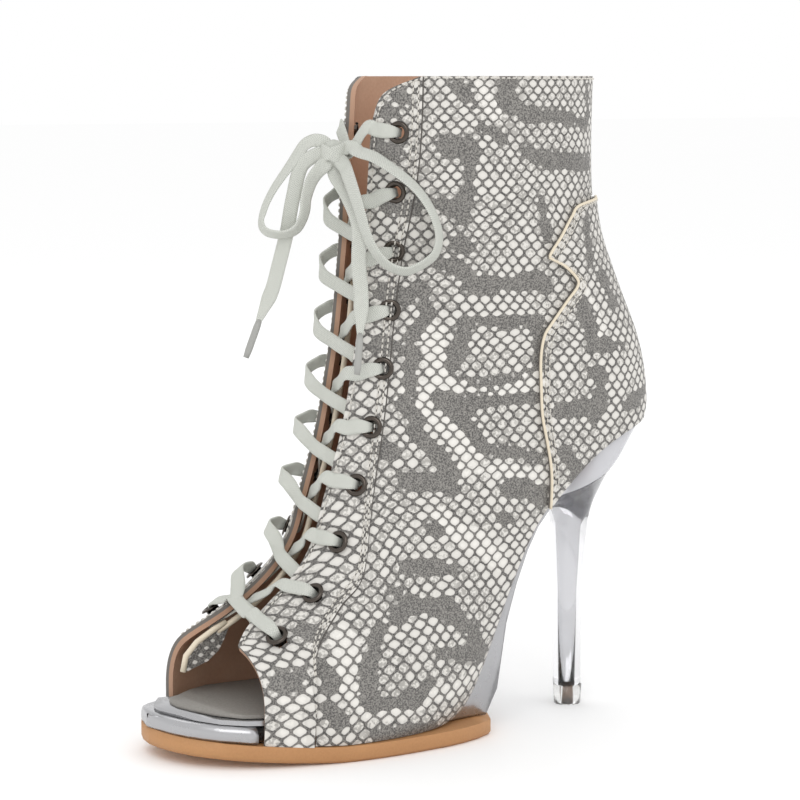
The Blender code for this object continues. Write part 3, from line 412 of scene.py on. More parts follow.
def eyelet_frames():
    """Centre and outward direction of each eyelet on the front panel, top to bottom, by side."""
    frames = {}
    for side in (-1, 1):
        last = len(SECTIONS) - 1
        positions = [last * k / 200 for k in range(200, -1, -1)]
        path = [throat_spot(p, side, EYELET_INSET) for p in positions]
        lengths = measured(path)
        frames[side] = []
        for n in range(EYELETS_A_SIDE):
            wanted = EYELET_FIRST + n * EYELET_PITCH
            k = max(i for i in range(len(lengths) - 1) if lengths[i] <= wanted)
            t = (wanted - lengths[k]) / (lengths[k + 1] - lengths[k])
            position = positions[k] + (positions[k + 1] - positions[k]) * t
            normal = throat_facing(position, side, eyelet_inset(n))
            centre = throat_spot(position, side, eyelet_inset(n))
            frames[side].append((position, centre + normal * (CLEARANCE + OVERLAY + EYELET_LIFT), normal))
    return frames


# Tongue: distances of its free and its hidden edge from the throat's edge, by position
Strip = namedtuple("Strip", "position free hidden")
TONGUE_STRIP = [
    Strip(0.25, 8.0, 13.0),
    Strip(0.9, 3.5, 11.5),
    Strip(1.8, 1.2, 9.0),
    Strip(3.0, 0.9, 8.0),
    Strip(7.0, 0.9, 7.5),
    Strip(12.0, 0.9, 7.5),
    Strip(17.5, 0.9, 7.0),
    Strip(18.4, 2.0, 5.0),
]
TONGUE_THICKNESS = 1.4
TONGUE_DEPTH = WALL + 2 * CLEARANCE + LACE_THICKNESS + 1.4

# Heights of the lace off the upper's outside, over the panel, in the gap and under the wall
OVER = CLEARANCE + OVERLAY + 1.2 + LACE_THICKNESS / 2
OVER_WRAP = 2.5
OVER_REACH = 2.6
OVER_GAP = 1.8
UNDER = -(WALL + CLEARANCE + 0.25 + LACE_THICKNESS / 2)
UNDER_GAP = -1.3
MEETING = -0.3
GAP_STOP = -4.5


def lace_spot(side, position, inset, offset):
    """Place and outward direction off the upper near the throat, or in the gap for a negative inset."""
    normal = throat_facing(position, side, max(inset, 1.0))
    if inset < 0:
        normal = Vector((normal.x, 0, normal.z)).normalized()
    spot = throat_spot(position, side, max(inset, 0.0)) + Vector((0, -side, 0)) * max(-inset, 0.0)
    return spot + normal * offset, normal


def edge_spot(side, position):
    """Place and direction of a lace where it turns round the overlay's edge."""
    normal = throat_facing(position, side, 1.0)
    edge, back = throat_spot(position, side, 0.0), throat_spot(position, side, 1.0)
    wrap = (normal - (back - edge)).normalized()
    return edge + normal * (CLEARANCE + OVERLAY) + wrap * OVER_WRAP, wrap


def smooth_route(spots, step):
    """Points a step apart along a smooth curve through spots."""
    dense = []
    for k in range(len(spots) - 1):
        for m in range(12):
            dense.append(Vector(blend(spots, k + m / 12)))
    dense.append(Vector(spots[-1]))
    lengths = measured(dense)
    count = max(2, round(lengths[-1] / step))
    return [at_length(dense, lengths, lengths[-1] * k / count) for k in range(count + 1)]


# Knot and bow: centre and half sizes, then the routes, listed
KNOT_CENTRE = (12.6, 1.6, 223.0)
KNOT_HALF = (4.6, 3.2, 5.6)
TOP_BAR_MIDDLE = (19.4, 0.0, 225.0)
LOOP_LEFT = [
    (10.2, 4.5, 226.9), (8.6, 6.4, 228), (5, 9, 227), (-1, 12, 218), (-7, 14, 209),
    (-11, 14, 201), (-13, 10, 195), (-8, 5.5, 193), (-3, 2.5, 195), (0, 1.5, 201),
    (1, 1.5, 208), (4.5, 2, 215), (7.5, 1, 218), (8.9, 1.2, 219.4),
]
LOOP_RIGHT = [
    (15.8, -1.8, 225.2), (17, -4, 226), (17, -10, 224), (20, -17, 222), (26, -25, 216),
    (32, -28, 210), (37, -30, 202), (40, -30, 193), (38, -30, 186), (33, -28, 182),
    (28, -26, 180), (22, -24, 182), (17, -23, 187), (14, -21, 194), (12, -18, 205),
    (12, -11, 215), (13.4, -5, 219), (13.4, -2.3, 220.6),
]
END_LEFT = [
    (8, 4.4, 223), (6.8, 5, 222.6), (2, 8, 218), (-2, 8, 204), (-4, 8, 194), (-8, 8, 180),
    (-10, 9, 172), (-15, 9, 162),
]
AGLET_LEFT = [(-15.3, 9, 161.2), (-20.6, 10, 147)]
END_RIGHT = [
    (12.1, 0.3, 217), (12, 0, 215.6), (13, -8, 208), (14, -15, 197), (13, -17, 183),
    (14, -17, 171), (13, -18, 158),
]
AGLET_RIGHT = [(13, -18, 157), (10, -21, 142)]

# Rings of the heel above its tip: front and back off its centre line, and half width
HeelRing = namedtuple("HeelRing", "front_x front_z back_x back_z half")
HEEL_RINGS = [
    HeelRing(-5.9, 0.0, 5.3, 0.0, 5.5),
    HeelRing(-6.2, 22.0, 5.3, 22.0, 5.8),
    HeelRing(-6.6, 44.0, 5.9, 44.0, 6.3),
    HeelRing(-6.9, 62.0, 7.0, 62.0, 7.6),
    HeelRing(-7.4, 69.5, 8.2, 73.0, 10.0),
    HeelRing(-10.0, 74.0, 10.6, 83.0, 15.0),
    HeelRing(-16.0, 76.5, 14.3, 93.0, 21.0),
    HeelRing(-19.5, 79.5, 19.8, 101.0, 25.0),
]


# Meshes and materials
def linear(red, green, blue):
    """Scene colour for a colour read from the photograph, 0 to 255."""
    shares = (channel / 255 for channel in (red, green, blue))
    return tuple(s / 12.92 if s <= 0.04045 else ((s + 0.055) / 1.055) ** 2.4 for s in shares) + (1.0,)


def plain(name, colour, roughness, **sockets):
    """Principled material with constant values."""
    made = bpy.data.materials.new(name)
    made.use_nodes = True
    shader = made.node_tree.nodes["Principled BSDF"]
    shader.inputs["Base Color"].default_value = colour
    shader.inputs["Roughness"].default_value = roughness
    for word, value in sockets.items():
        shader.inputs[word.replace("_", " ")].default_value = value
    return made


class Nodes:
    """Short calls for a material's node tree."""

    def __init__(self, made):
        self.tree = made.node_tree
        self.shader = self.tree.nodes["Principled BSDF"]

    def put(self, value, socket):
        if isinstance(value, bpy.types.NodeSocket):
            self.tree.links.new(value, socket)
        else:
            socket.default_value = value

    def math(self, operation, first, second=0.0, third=0.0, clamp=False):
        node = self.tree.nodes.new("ShaderNodeMath")
        node.operation = operation
        node.use_clamp = clamp
        for value, socket in zip((first, second, third), node.inputs):
            self.put(value, socket)
        return node.outputs[0]

    def step(self, value, low, high):
        node = self.tree.nodes.new("ShaderNodeMapRange")
        node.interpolation_type = "SMOOTHSTEP"
        for value_in, socket in zip((value, low, high, 0.0, 1.0), node.inputs):
            self.put(value_in, socket)
        return node.outputs[0]

    def mix(self, share, first, second):
        node = self.tree.nodes.new("ShaderNodeMix")
        node.data_type = "RGBA"
        self.put(share, node.inputs[0])
        self.put(first, node.inputs[6])
        self.put(second, node.inputs[7])
        return node.outputs[2]

    def grain(self, scale, detail):
        node = self.tree.nodes.new("ShaderNodeTexNoise")
        node.inputs["Scale"].default_value = scale
        node.inputs["Detail"].default_value = detail
        coordinate = self.tree.nodes.new("ShaderNodeTexCoord").outputs["Object"]
        self.tree.links.new(coordinate, node.inputs["Vector"])
        return node.outputs["Fac"]

    def attribute(self, name):
        node = self.tree.nodes.new("ShaderNodeAttribute")
        node.attribute_name = name
        return node.outputs["Fac"]

    def chart(self):
        node = self.tree.nodes.new("ShaderNodeUVMap")
        node.uv_map = "chart"
        parts = self.tree.nodes.new("ShaderNodeSeparateXYZ")
        self.tree.links.new(node.outputs[0], parts.inputs[0])
        return parts.outputs[0], parts.outputs[1]

    def bump(self, height, distance, strength):
        node = self.tree.nodes.new("ShaderNodeBump")
        node.inputs["Distance"].default_value = distance
        node.inputs["Strength"].default_value = strength
        self.tree.links.new(height, node.inputs["Height"])
        self.tree.links.new(node.outputs[0], self.shader.inputs["Normal"])

    def colour(self, value):
        self.put(value, self.shader.inputs["Base Color"])

    def rough(self, value):
        self.put(value, self.shader.inputs["Roughness"])


def snakeskin():
    """Off-white six-sided scales on grey, with dark grained blotches from the chart."""
    made = plain("snakeskin_print", linear(190, 188, 184), 0.5)
    n = Nodes(made)
    p, q = n.chart()
    places = [p, n.math("MULTIPLY", q, -1.0), n.math("SUBTRACT", q, p)]
    rounded = [n.math("ROUND", place) for place in places]
    off = [n.math("ABSOLUTE", n.math("SUBTRACT", place, whole)) for place, whole in zip(places, rounded)]
    worst = n.math("SUBTRACT", n.math("MAXIMUM", n.math("MAXIMUM", off[0], off[1]), off[2]), 0.00001)
    centres = []
    for k in range(3):
        others = n.math("MULTIPLY", n.math("ADD", rounded[k - 1], rounded[k - 2]), -1.0)
        replaced = n.math("GREATER_THAN", off[k], worst)
        change = n.math("MULTIPLY", replaced, n.math("SUBTRACT", others, rounded[k]))
        centres.append(n.math("ADD", rounded[k], change))
    gone = [n.math("SUBTRACT", place, centre) for place, centre in zip(places, centres)]
    power = 8.0
    total = 0.0
    for k in range(3):
        across = n.math("ABSOLUTE", n.math("SUBTRACT", gone[k], gone[k - 1]))
        total = n.math("ADD", total, n.math("POWER", n.math("MULTIPLY", across, 0.5), power))
    slanted = n.math("POWER", n.math("ABSOLUTE", gone[0]), power)
    slanted = n.math("ADD", slanted, n.math("POWER", n.math("ABSOLUTE", gone[1]), power))
    six_sided = n.math("POWER", total, 1 / power)
    rhombic = n.math("POWER", slanted, 1 / power)
    reach = n.math("MULTIPLY", n.math("ADD", six_sided, rhombic), 0.5)
    joined = n.tree.nodes.new("ShaderNodeCombineXYZ")
    n.put(centres[0], joined.inputs[0])
    n.put(centres[1], joined.inputs[1])
    chance = n.tree.nodes.new("ShaderNodeTexWhiteNoise")
    chance.noise_dimensions = "2D"
    n.tree.links.new(joined.outputs[0], chance.inputs["Vector"])
    luck = chance.outputs["Value"]
    dark, pale = n.attribute("dark"), n.step(n.attribute("pale"), -0.8, 0.5)
    fine, speck = n.grain(1700.0, 3.0), n.grain(800.0, 2.0)
    broad, zone = n.grain(330.0, 2.0), n.grain(34.0, 1.0)
    reach = n.math("ADD", reach, n.math("MULTIPLY", n.math("SUBTRACT", broad, 0.5), 0.14))
    edge = n.math("ADD", 0.375, n.math("MULTIPLY", luck, 0.04))
    edge = n.math("ADD", edge, n.math("MULTIPLY", pale, 0.02))
    scale = n.step(reach, n.math("ADD", edge, 0.035), n.math("SUBTRACT", edge, 0.03))
    core = n.step(reach, 0.34, 0.12)
    chosen = n.step(n.math("ADD", n.math("MULTIPLY", luck, 0.35), zone), 0.60, 0.74)
    mottled = n.math("MULTIPLY", chosen, n.step(speck, 0.44, 0.56))
    mottled = n.math("MULTIPLY", mottled, n.math("SUBTRACT", 1.0, n.math("MULTIPLY", pale, 0.85)))
    cell = n.mix(pale, linear(217, 214, 208), linear(228, 225, 219))
    cell = n.mix(n.math("MULTIPLY", mottled, 0.7), cell, linear(138, 135, 130))
    cell = n.mix(n.math("MULTIPLY", n.math("SUBTRACT", 1.0, core), 0.16), cell, linear(150, 147, 142))
    gap = n.mix(n.step(fine, 0.38, 0.62), linear(70, 68, 66), linear(128, 125, 121))
    gap = n.mix(n.math("MULTIPLY", pale, 0.15), gap, linear(170, 167, 161))
    blotch = n.mix(n.step(fine, 0.36, 0.64), linear(78, 76, 74), linear(142, 139, 134))
    shown = n.mix(scale, gap, cell)
    kept = n.math("MULTIPLY", n.step(reach, 0.45, 0.10), 1.5)
    covered = n.step(n.math("SUBTRACT", n.math("ADD", dark, 1.0), kept), -0.3, 0.3)
    n.colour(n.mix(covered, shown, blotch))
    raised = n.math("MULTIPLY", scale, n.math("SUBTRACT", 1.0, covered))
    height = n.math("ADD", n.math("MULTIPLY", raised, 0.6), n.math("MULTIPLY", fine, 0.3))
    n.bump(height, 0.0003, 0.7)
    n.rough(n.math("ADD", 0.42, n.math("MULTIPLY", fine, 0.2)))
    return made


def lining():
    """Tan leather lining."""
    made = plain("tan_lining", linear(196, 150, 120), 0.6)
    n = Nodes(made)
    fine, broad = n.grain(900.0, 3.0), n.grain(60.0, 3.0)
    n.colour(n.mix(n.math("ADD", n.math("MULTIPLY", fine, 0.5), n.math("MULTIPLY", broad, 0.5)),
                   linear(178, 138, 112), linear(212, 176, 150)))
    n.bump(fine, 0.00012, 0.5)
    return made


# Weave of the lace in millimetres
HERRINGBONE_WIDTH = 0.7
HERRINGBONE_STEP = 0.75


def woven():
    """Flat lace in a fine herringbone."""
    made = plain("grey_lace", linear(205, 207, 200), 0.85)
    n = Nodes(made)
    length, across = n.chart()
    fold = n.math("PINGPONG", across, HERRINGBONE_WIDTH)
    run = n.math("ADD", length, n.math("MULTIPLY", fold, 1.1))
    wave = n.math("SINE", n.math("MULTIPLY", run, 2 * math.pi / HERRINGBONE_STEP))
    ridge = n.math("ADD", n.math("MULTIPLY", wave, 0.5), 0.5)
    line = n.step(n.math("ABSOLUTE", n.math("SUBTRACT", fold, HERRINGBONE_WIDTH / 2)), 0.30, 0.35)
    fuzz = n.grain(1800.0, 2.0)
    shade = n.math("ADD", n.math("MULTIPLY", ridge, 0.6), n.math("MULTIPLY", fuzz, 0.4))
    shade = n.math("SUBTRACT", shade, n.math("MULTIPLY", line, 0.25), clamp=True)
    n.colour(n.mix(shade, linear(158, 160, 153), linear(226, 228, 220)))
    n.bump(shade, 0.00016, 0.7)
    return made


def silver():
    """Silver wrap with a faint crinkle."""
    made = plain("silver_wrap", linear(178, 178, 180), 0.3, Metallic=0.9)
    n = Nodes(made)
    n.bump(n.grain(240.0, 4.0), 0.0004, 0.35)
    n.rough(n.math("ADD", 0.18, n.math("MULTIPLY", n.grain(90.0, 2.0), 0.2)))
    return made


def tan_sole():
    """Tan sole, with fine lengthwise streaks."""
    made = plain("tan_sole", linear(205, 150, 95), 0.55)
    n = Nodes(made)
    fine, broad = n.grain(1200.0, 3.0), n.grain(40.0, 3.0)
    n.colour(n.mix(n.math("ADD", n.math("MULTIPLY", fine, 0.5), n.math("MULTIPLY", broad, 0.5)),
                   linear(166, 118, 74), linear(196, 146, 98)))
    n.bump(fine, 0.0001, 0.4)
    return made


def sock():
    """Soft grey sock pad."""
    made = plain("grey_pad", linear(170, 165, 158), 0.7)
    n = Nodes(made)
    fine = n.grain(1100.0, 3.0)
    n.colour(n.mix(fine, linear(124, 121, 116), linear(160, 156, 150)))
    n.bump(fine, 0.00012, 0.5)
    return made


SKIN, LINING, LACE = snakeskin(), lining(), woven()
SILVER, TAN, PAD = silver(), tan_sole(), sock()
CREAM = plain("cream_edge", linear(224, 212, 190), 0.6)
CUT_EDGE = plain("cut_edge", linear(112, 108, 103), 0.7)
TAN_EDGE = plain("tan_edge", linear(176, 140, 116), 0.7)
# Dark grey for thin tubes of painted shade along the seams
SEAM_SHADE = plain("painted_seam_shade", linear(100, 96, 92), 0.8)
# Near-black for the inside of the eyelets' barrels: painted shade in the holes
HOLE_SHADE = plain("painted_hole_shade", linear(42, 38, 35), 0.5)
THREAD = plain("thread", linear(212, 208, 200), 0.7)
BRONZE = plain("dark_bronze", linear(82, 76, 71), 0.24, Metallic=1.0)
AGLET = plain("grey_aglet", linear(158, 158, 154), 0.3)
# The clear acrylic's light grey tint and the darker grey of the stem's hollow are painted reflection and
# shade, for the grey streaks that a clear heel shows
CLEAR = plain("clear_acrylic", (0.90, 0.90, 0.915, 1.0), 0.03, IOR=1.49, Transmission_Weight=1.0)
FROSTED = plain("clear_cup", (0.74, 0.74, 0.77, 1.0), 0.2, IOR=1.49, Transmission_Weight=0.3)
HOLLOW_PAINTED_SHADE = plain("hollow_painted_shade", (0.68, 0.68, 0.695, 1.0), 0.12, IOR=1.3, Transmission_Weight=1.0)
CLEAR_TIP = plain("clear_tip", (0.93, 0.93, 0.92, 1.0), 0.12, IOR=1.49, Transmission_Weight=0.9)
PIN = plain("brown_pin", linear(120, 88, 62), 0.4, Metallic=0.6)


def shape(name, points, faces, finishes, chart=None, slots=None, marks=None, replaced=()):
    """Smooth mesh from points in millimetres, which rides on the boot."""
    mesh = bpy.data.meshes.new(name)
    mesh.from_pydata([tuple(Vector(p) * MILLIMETRE) for p in points], [], faces)
    for finish in finishes:
        mesh.materials.append(finish)
    mesh.polygons.foreach_set("use_smooth", [True] * len(mesh.polygons))
    if slots:
        mesh.polygons.foreach_set("material_index", slots)
    if chart:
        layer = mesh.uv_layers.new(name="chart")
        corners = [value for loop in mesh.loops for value in chart[loop.vertex_index]]
        layer.data.foreach_set("uv", corners)
    for word, values in (marks or {}).items():
        held = mesh.attributes.new(word, "FLOAT", "POINT")
        held.data.foreach_set("value", values)
    mesh.update()
    made = bpy.data.objects.new(name, mesh)
    bpy.context.scene.collection.objects.link(made)
    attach(made, "root")
    if replaced:
        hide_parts(*replaced)
    return made


class Builder:
    """Gathers grids of points into one mesh."""

    def __init__(self):
        self.points, self.faces, self.slots, self.chart = [], [], [], []

    def add(self, rows, slot=0, around=False, charts=None, skip=None, flip=False, capped=False):
        """Grid of rows of points, closed round each row if asked."""
        start, width = len(self.points), len(rows[0])
        for i, row in enumerate(rows):
            self.points += row
            self.chart += charts[i] if charts else [(0.0, 0.0)] * width
        for i in range(len(rows) - 1):
            for j in range(width if around else width - 1):
                k = (j + 1) % width
                a, b = start + i * width + j, start + i * width + k
                face = [a, b, b + width, a + width]
                if skip and skip(sum((Vector(self.points[c]) for c in face), Vector()) / 4):
                    continue
                self.faces.append(face[::-1] if flip else face)
                self.slots.append(slot)
        if capped:
            last = start + (len(rows) - 1) * width
            self.faces += [[start + j for j in range(width)][::-1], [last + j for j in range(width)]]
            self.slots += [slot, slot]

    def made(self, name, finishes, marks=None, replaced=(), slot=None):
        """The gathered mesh as a piece of the boot, with a chart where any of its rows has one."""
        chart = self.chart if any(any(flat) for flat in self.chart) else None
        return shape(name, self.points, self.faces, finishes, chart, self.slots, marks, replaced)


# Outline of the flat lace across its run, as shares of its half breadth and half thickness
RIBBON_EDGE = [
    (-1, 0.0), (-0.94, 0.75), (-0.6, 1.0), (0, 0.92), (0.6, 1.0), (0.94, 0.75),
    (1, 0.0), (0.94, -0.75), (0.6, -1.0), (0, -0.92), (-0.6, -1.0), (-0.94, -0.75),
]


def turns(count):
    """Angles of a full turn in equal steps."""
    return [2 * math.pi * m / count for m in range(count)]


def ribbon(builder, spots, substeps=7):
    """Flat lace along (place, direction off its face, share of its width); returns the line it follows."""
    table = [(*spot, *normal, width) for spot, normal, width in spots]
    dense = [blend(table, k / substeps) for k in range(substeps * (len(table) - 1) + 1)]
    centres = [Vector(row[:3]) for row in dense]
    lengths = measured(centres)
    rows, charts = [], []
    for k, row in enumerate(dense):
        run = (centres[min(k + 1, len(centres) - 1)] - centres[max(k - 1, 0)]).normalized()
        normal = Vector(row[3:6])
        normal = (normal - run * normal.dot(run)).normalized()
        across = run.cross(normal)
        half, thick = LACE_BREADTH / 2 * row[6], LACE_THICKNESS / 2
        rows.append([centres[k] + across * (half * a) + normal * (thick * b) for a, b in RIBBON_EDGE])
        charts.append([(lengths[k], half * a + 10.0) for a, _ in RIBBON_EDGE])
    builder.add(rows, around=True, charts=charts, capped=True)
    return centres


def lace_piece(name, paths, replaced):
    """One piece of lace from some paths, with the line that the first one follows."""
    builder = Builder()
    lines = [ribbon(builder, path) for path in paths]
    return builder.made(name, [LACE], replaced=replaced, slot="grey_lace"), lines[0]


def bow_part(name, route, twist):
    """Loop or end of the bow, its flat side turned to the front, more or less edge-on along its way."""
    spots = smooth_route(route, 4.0)
    path = []
    for k, spot in enumerate(spots):
        run = (spots[min(k + 1, len(spots) - 1)] - spots[max(k - 1, 0)]).normalized()
        facing_out = (TO_CAMERA - run * TO_CAMERA.dot(run)).normalized()
        share = k / (len(spots) - 1)
        angle = twist * math.sin(math.pi * share) ** 0.5
        normal = facing_out * math.cos(angle) + run.cross(facing_out) * math.sin(angle)
        path.append((spot, normal, 1.0))
    centre = Vector(KNOT_CENTRE)
    closed = (spots[-1] - centre).length < 2 * KNOT_HALF[0]
    path.insert(0, (spots[0].lerp(centre, 0.45), path[0][1], 0.8))
    if closed:
        path.append((spots[-1].lerp(centre, 0.45), path[-1][1], 0.8))
    else:
        onward = (spots[-1] - spots[-2]).normalized()
        (before, turned, _), (tip, normal, _) = path[-2:]
        path[-2:] = [(before, turned, 0.75), (tip, normal, 0.5), (tip + onward * 1.6, normal, 0.4)]
    return lace_piece(name, [path], [name])


AGLET_HALF = (1.35, 1.0)
AGLET_SIDES = 14


def aglet(name, route):
    """Film-wrapped tip of the lace."""
    builder = Builder()
    spots = smooth_route(route, 3.0)
    rows = []
    for k, spot in enumerate(spots):
        run = (spots[min(k + 1, len(spots) - 1)] - spots[max(k - 1, 0)]).normalized()
        side = run.cross(TO_CAMERA).normalized()
        depth = run.cross(side)
        size = 0.8 if k in (0, len(spots) - 1) else 1.0
        wide, deep = side * AGLET_HALF[0], depth * AGLET_HALF[1]
        rows.append([spot + (wide * math.cos(a) + deep * math.sin(a)) * size for a in turns(AGLET_SIDES)])
    builder.add(rows, around=True, capped=True)
    return builder.made(name, [AGLET], replaced=[name], slot="grey_aglet")


aglets = {"left": aglet("aglet_left", AGLET_LEFT), "right": aglet("aglet_right", AGLET_RIGHT)}
for word, route, twist in (("loop_left", LOOP_LEFT, 1.15), ("loop_right", LOOP_RIGHT, -1.1),
                           ("end_left", END_LEFT, 0.2), ("end_right", END_RIGHT, -0.2)):
    made, line = bow_part(word, route, twist)


KNOT_RINGS = 19
KNOT_SIDES = 32
BAND_SPOTS = 13


def knot():
    """Rounded knot with two turns of the lace across it."""
    builder = Builder()
    centre = Vector(KNOT_CENTRE)
    turn = Vector((math.cos(CAMERA_TURN), -math.sin(CAMERA_TURN), 0.0))
    front = Vector((-math.sin(CAMERA_TURN), -math.cos(CAMERA_TURN), 0.0))
    rows, charts = [], []
    for k in range(KNOT_RINGS):
        rise = -math.cos(math.pi * (k + 0.3) / (KNOT_RINGS - 0.4))
        wide = math.sqrt(max(1 - rise * rise, 0.01))
        row = []
        for angle in turns(KNOT_SIDES):
            crease = 1 + 0.05 * math.sin(3 * angle + 2.2 * rise) + 0.04 * math.sin(7 * rise + angle)
            spot = centre + Vector((0, 0, KNOT_HALF[2] * 0.97 * rise))
            spot += turn * (KNOT_HALF[0] * 0.97 * wide * math.cos(angle) * crease)
            spot += front * (KNOT_HALF[1] * 0.95 * wide * math.sin(angle) * crease)
            row.append(spot)
        rows.append(row)
        across = [10 + 2 * KNOT_HALF[0] * math.cos(angle) for angle in turns(KNOT_SIDES)]
        charts.append([(KNOT_HALF[2] * rise, v) for v in across])
    builder.add(rows, around=True, charts=charts, capped=True)
    for lean, lift in ((0.32, 0.6), (-0.5, -0.6)):
        path = []
        for k in range(BAND_SPOTS):
            angle = math.pi * (k / (BAND_SPOTS - 1) * 1.1 - 0.05)
            out = turn * math.cos(angle) + front * math.sin(angle)
            spot = centre + Vector((0, 0, lift + lean * KNOT_HALF[0] * math.cos(angle)))
            spot += turn * (KNOT_HALF[0] * 0.93 * math.cos(angle))
            spot += front * (KNOT_HALF[1] * 0.93 * math.sin(angle))
            path.append((spot, out, 0.8))
        ribbon(builder, path, 3)
    return builder.made("knot", [LACE], replaced=["knot"], slot="grey_lace")


knot()

# Outside of the upper as a grid, with the place of each point on the flat chart of the print
ROWS_PER_SECTION = 7
GRID_COLUMNS = 64
LAST = len(SECTIONS) - 1


def grid_positions():
    """Positions of the grid's rows, with close ones where the back seam begins."""
    closing = closing_position()
    found = [k / ROWS_PER_SECTION for k in range(LAST * ROWS_PER_SECTION + 1)]
    found = [p for p in found if abs(p - closing) > 0.05]
    return sorted(found + [closing - 0.04, closing, closing + 0.04]), closing


POSITIONS, CLOSING = grid_positions()

# Creases, seen from the side: ends, half width and depth in millimetres
Crease = namedtuple("Crease", "x1 z1 x2 z2 half depth")
CREASES = [
    Crease(60, 176, 96, 168, 6.0, 0.7),
    Crease(48, 158, 84, 146, 6.0, 0.6),
    Crease(44, 138, 74, 122, 7.0, 0.6),
    Crease(30, 112, 58, 94, 7.0, 0.5),
    Crease(4, 66, 34, 52, 6.0, 0.5),
    Crease(-24, 40, 2, 30, 6.0, 0.4),
    Crease(70, 214, 104, 208, 8.0, 0.5),
]


def stroke_distance(x, z, x1, z1, x2, z2):
    """Distance of a point from a stroke between two others."""
    along_x, along_z = x2 - x1, z2 - z1
    size = along_x * along_x + along_z * along_z
    t = ((x - x1) * along_x + (z - z1) * along_z) / size if size else 0.0
    t = min(max(t, 0.0), 1.0)
    return math.hypot(x - x1 - t * along_x, z - z1 - t * along_z)


def pressed(spot):
    """Depth of the listed creases at a point of the outside."""
    depth = 0.0
    for crease in CREASES:
        away = stroke_distance(spot.x, spot.z, crease.x1, crease.z1, crease.x2, crease.z2)
        if away < 2 * crease.half:
            depth += crease.depth * math.cos(math.pi * away / (4 * crease.half)) ** 2
    return depth


def base_grid():
    """Rows of places, directions outwards and places on the flat chart, by side."""
    grid = {}
    for side in (-1, 1):
        rows = []
        for position in POSITIONS:
            _, low, front = section_at(position)
            curve = section_curve(position, side)
            lengths = measured(curve)
            gaps = range(GRID_COLUMNS + 1)
            line = [at_length(curve, lengths, lengths[-1] * j / GRID_COLUMNS) for j in gaps]
            widest = max(range(len(curve)), key=lambda k: abs(curve[k].y))
            anchor, reach = curve[widest], lengths[widest]
            lead = Vector((front.x - low.x, front.z - low.z)).normalized()
            flat = []
            for j in gaps:
                gone = lengths[-1] * j / GRID_COLUMNS - reach
                flat.append((anchor.x + lead.x * gone, anchor.z + lead.y * gone))
            rows.append((line, flat, (low + front) / 2))
        shaped = []
        for i, (line, flat, middle) in enumerate(rows):
            before, after = rows[max(i - 1, 0)][0], rows[min(i + 1, len(rows) - 1)][0]
            out = []
            for j, spot in enumerate(line):
                across = line[min(j + 1, GRID_COLUMNS)] - line[max(j - 1, 0)]
                normal = across.cross(after[j] - before[j])
                if j == 0 and POSITIONS[i] >= CLOSING:
                    run = after[0] - before[0]
                    normal = Vector((run.z, 0, -run.x))
                if normal.dot(spot - middle) < 0:
                    normal = -normal
                out.append(normal.normalized())
            shaped.append((line, out, flat))
        grid[side] = shaped
    return grid


GRID = base_grid()


def sample(side, position, share):
    """Place, direction outwards and place on the flat chart at a position and share."""
    low, high = 0, len(POSITIONS) - 1
    while high - low > 1:
        middle = (low + high) // 2
        if POSITIONS[middle] <= position:
            low = middle
        else:
            high = middle
    t = (position - POSITIONS[low]) / (POSITIONS[low + 1] - POSITIONS[low])
    j = min(int(share * GRID_COLUMNS), GRID_COLUMNS - 1)
    s = share * GRID_COLUMNS - j
    first, second = GRID[side][low], GRID[side][low + 1]

    def between(layer):
        nearer = first[layer][j].lerp(first[layer][j + 1], s)
        return nearer.lerp(second[layer][j].lerp(second[layer][j + 1], s), t)

    spot, normal = between(0), between(1).normalized()
    a, b, c, d = first[2][j], first[2][j + 1], second[2][j], second[2][j + 1]
    flat = tuple((a[k] * (1 - s) + b[k] * s) * (1 - t) + (c[k] * (1 - s) + d[k] * s) * t for k in (0, 1))
    return spot, normal, flat


# Print: a lattice of scales that shrinks towards the collar, and a chart of its blotches
CELL_LENGTH = 6.0
CELL_RISE = 3.3
CELL_SHRINK = 0.0011
CHART_MIDDLE = 60.0
SWAY = 0.045


def lattice(u, v):
    """Lattice place of a point on the flat chart; scales are centred on whole numbers."""
    wobble = noise.noise(Vector((u * SWAY, v * SWAY, 3.0)))
    sway = noise.noise(Vector((u * SWAY, v * SWAY, 9.0)))
    across = (u - CHART_MIDDLE) / CELL_LENGTH * (1 + CELL_SHRINK * v) + 0.35 * wobble
    rise = v / CELL_RISE * (1 + CELL_SHRINK * v / 2) + 0.6 * sway
    return across + rise / 2, across - rise / 2


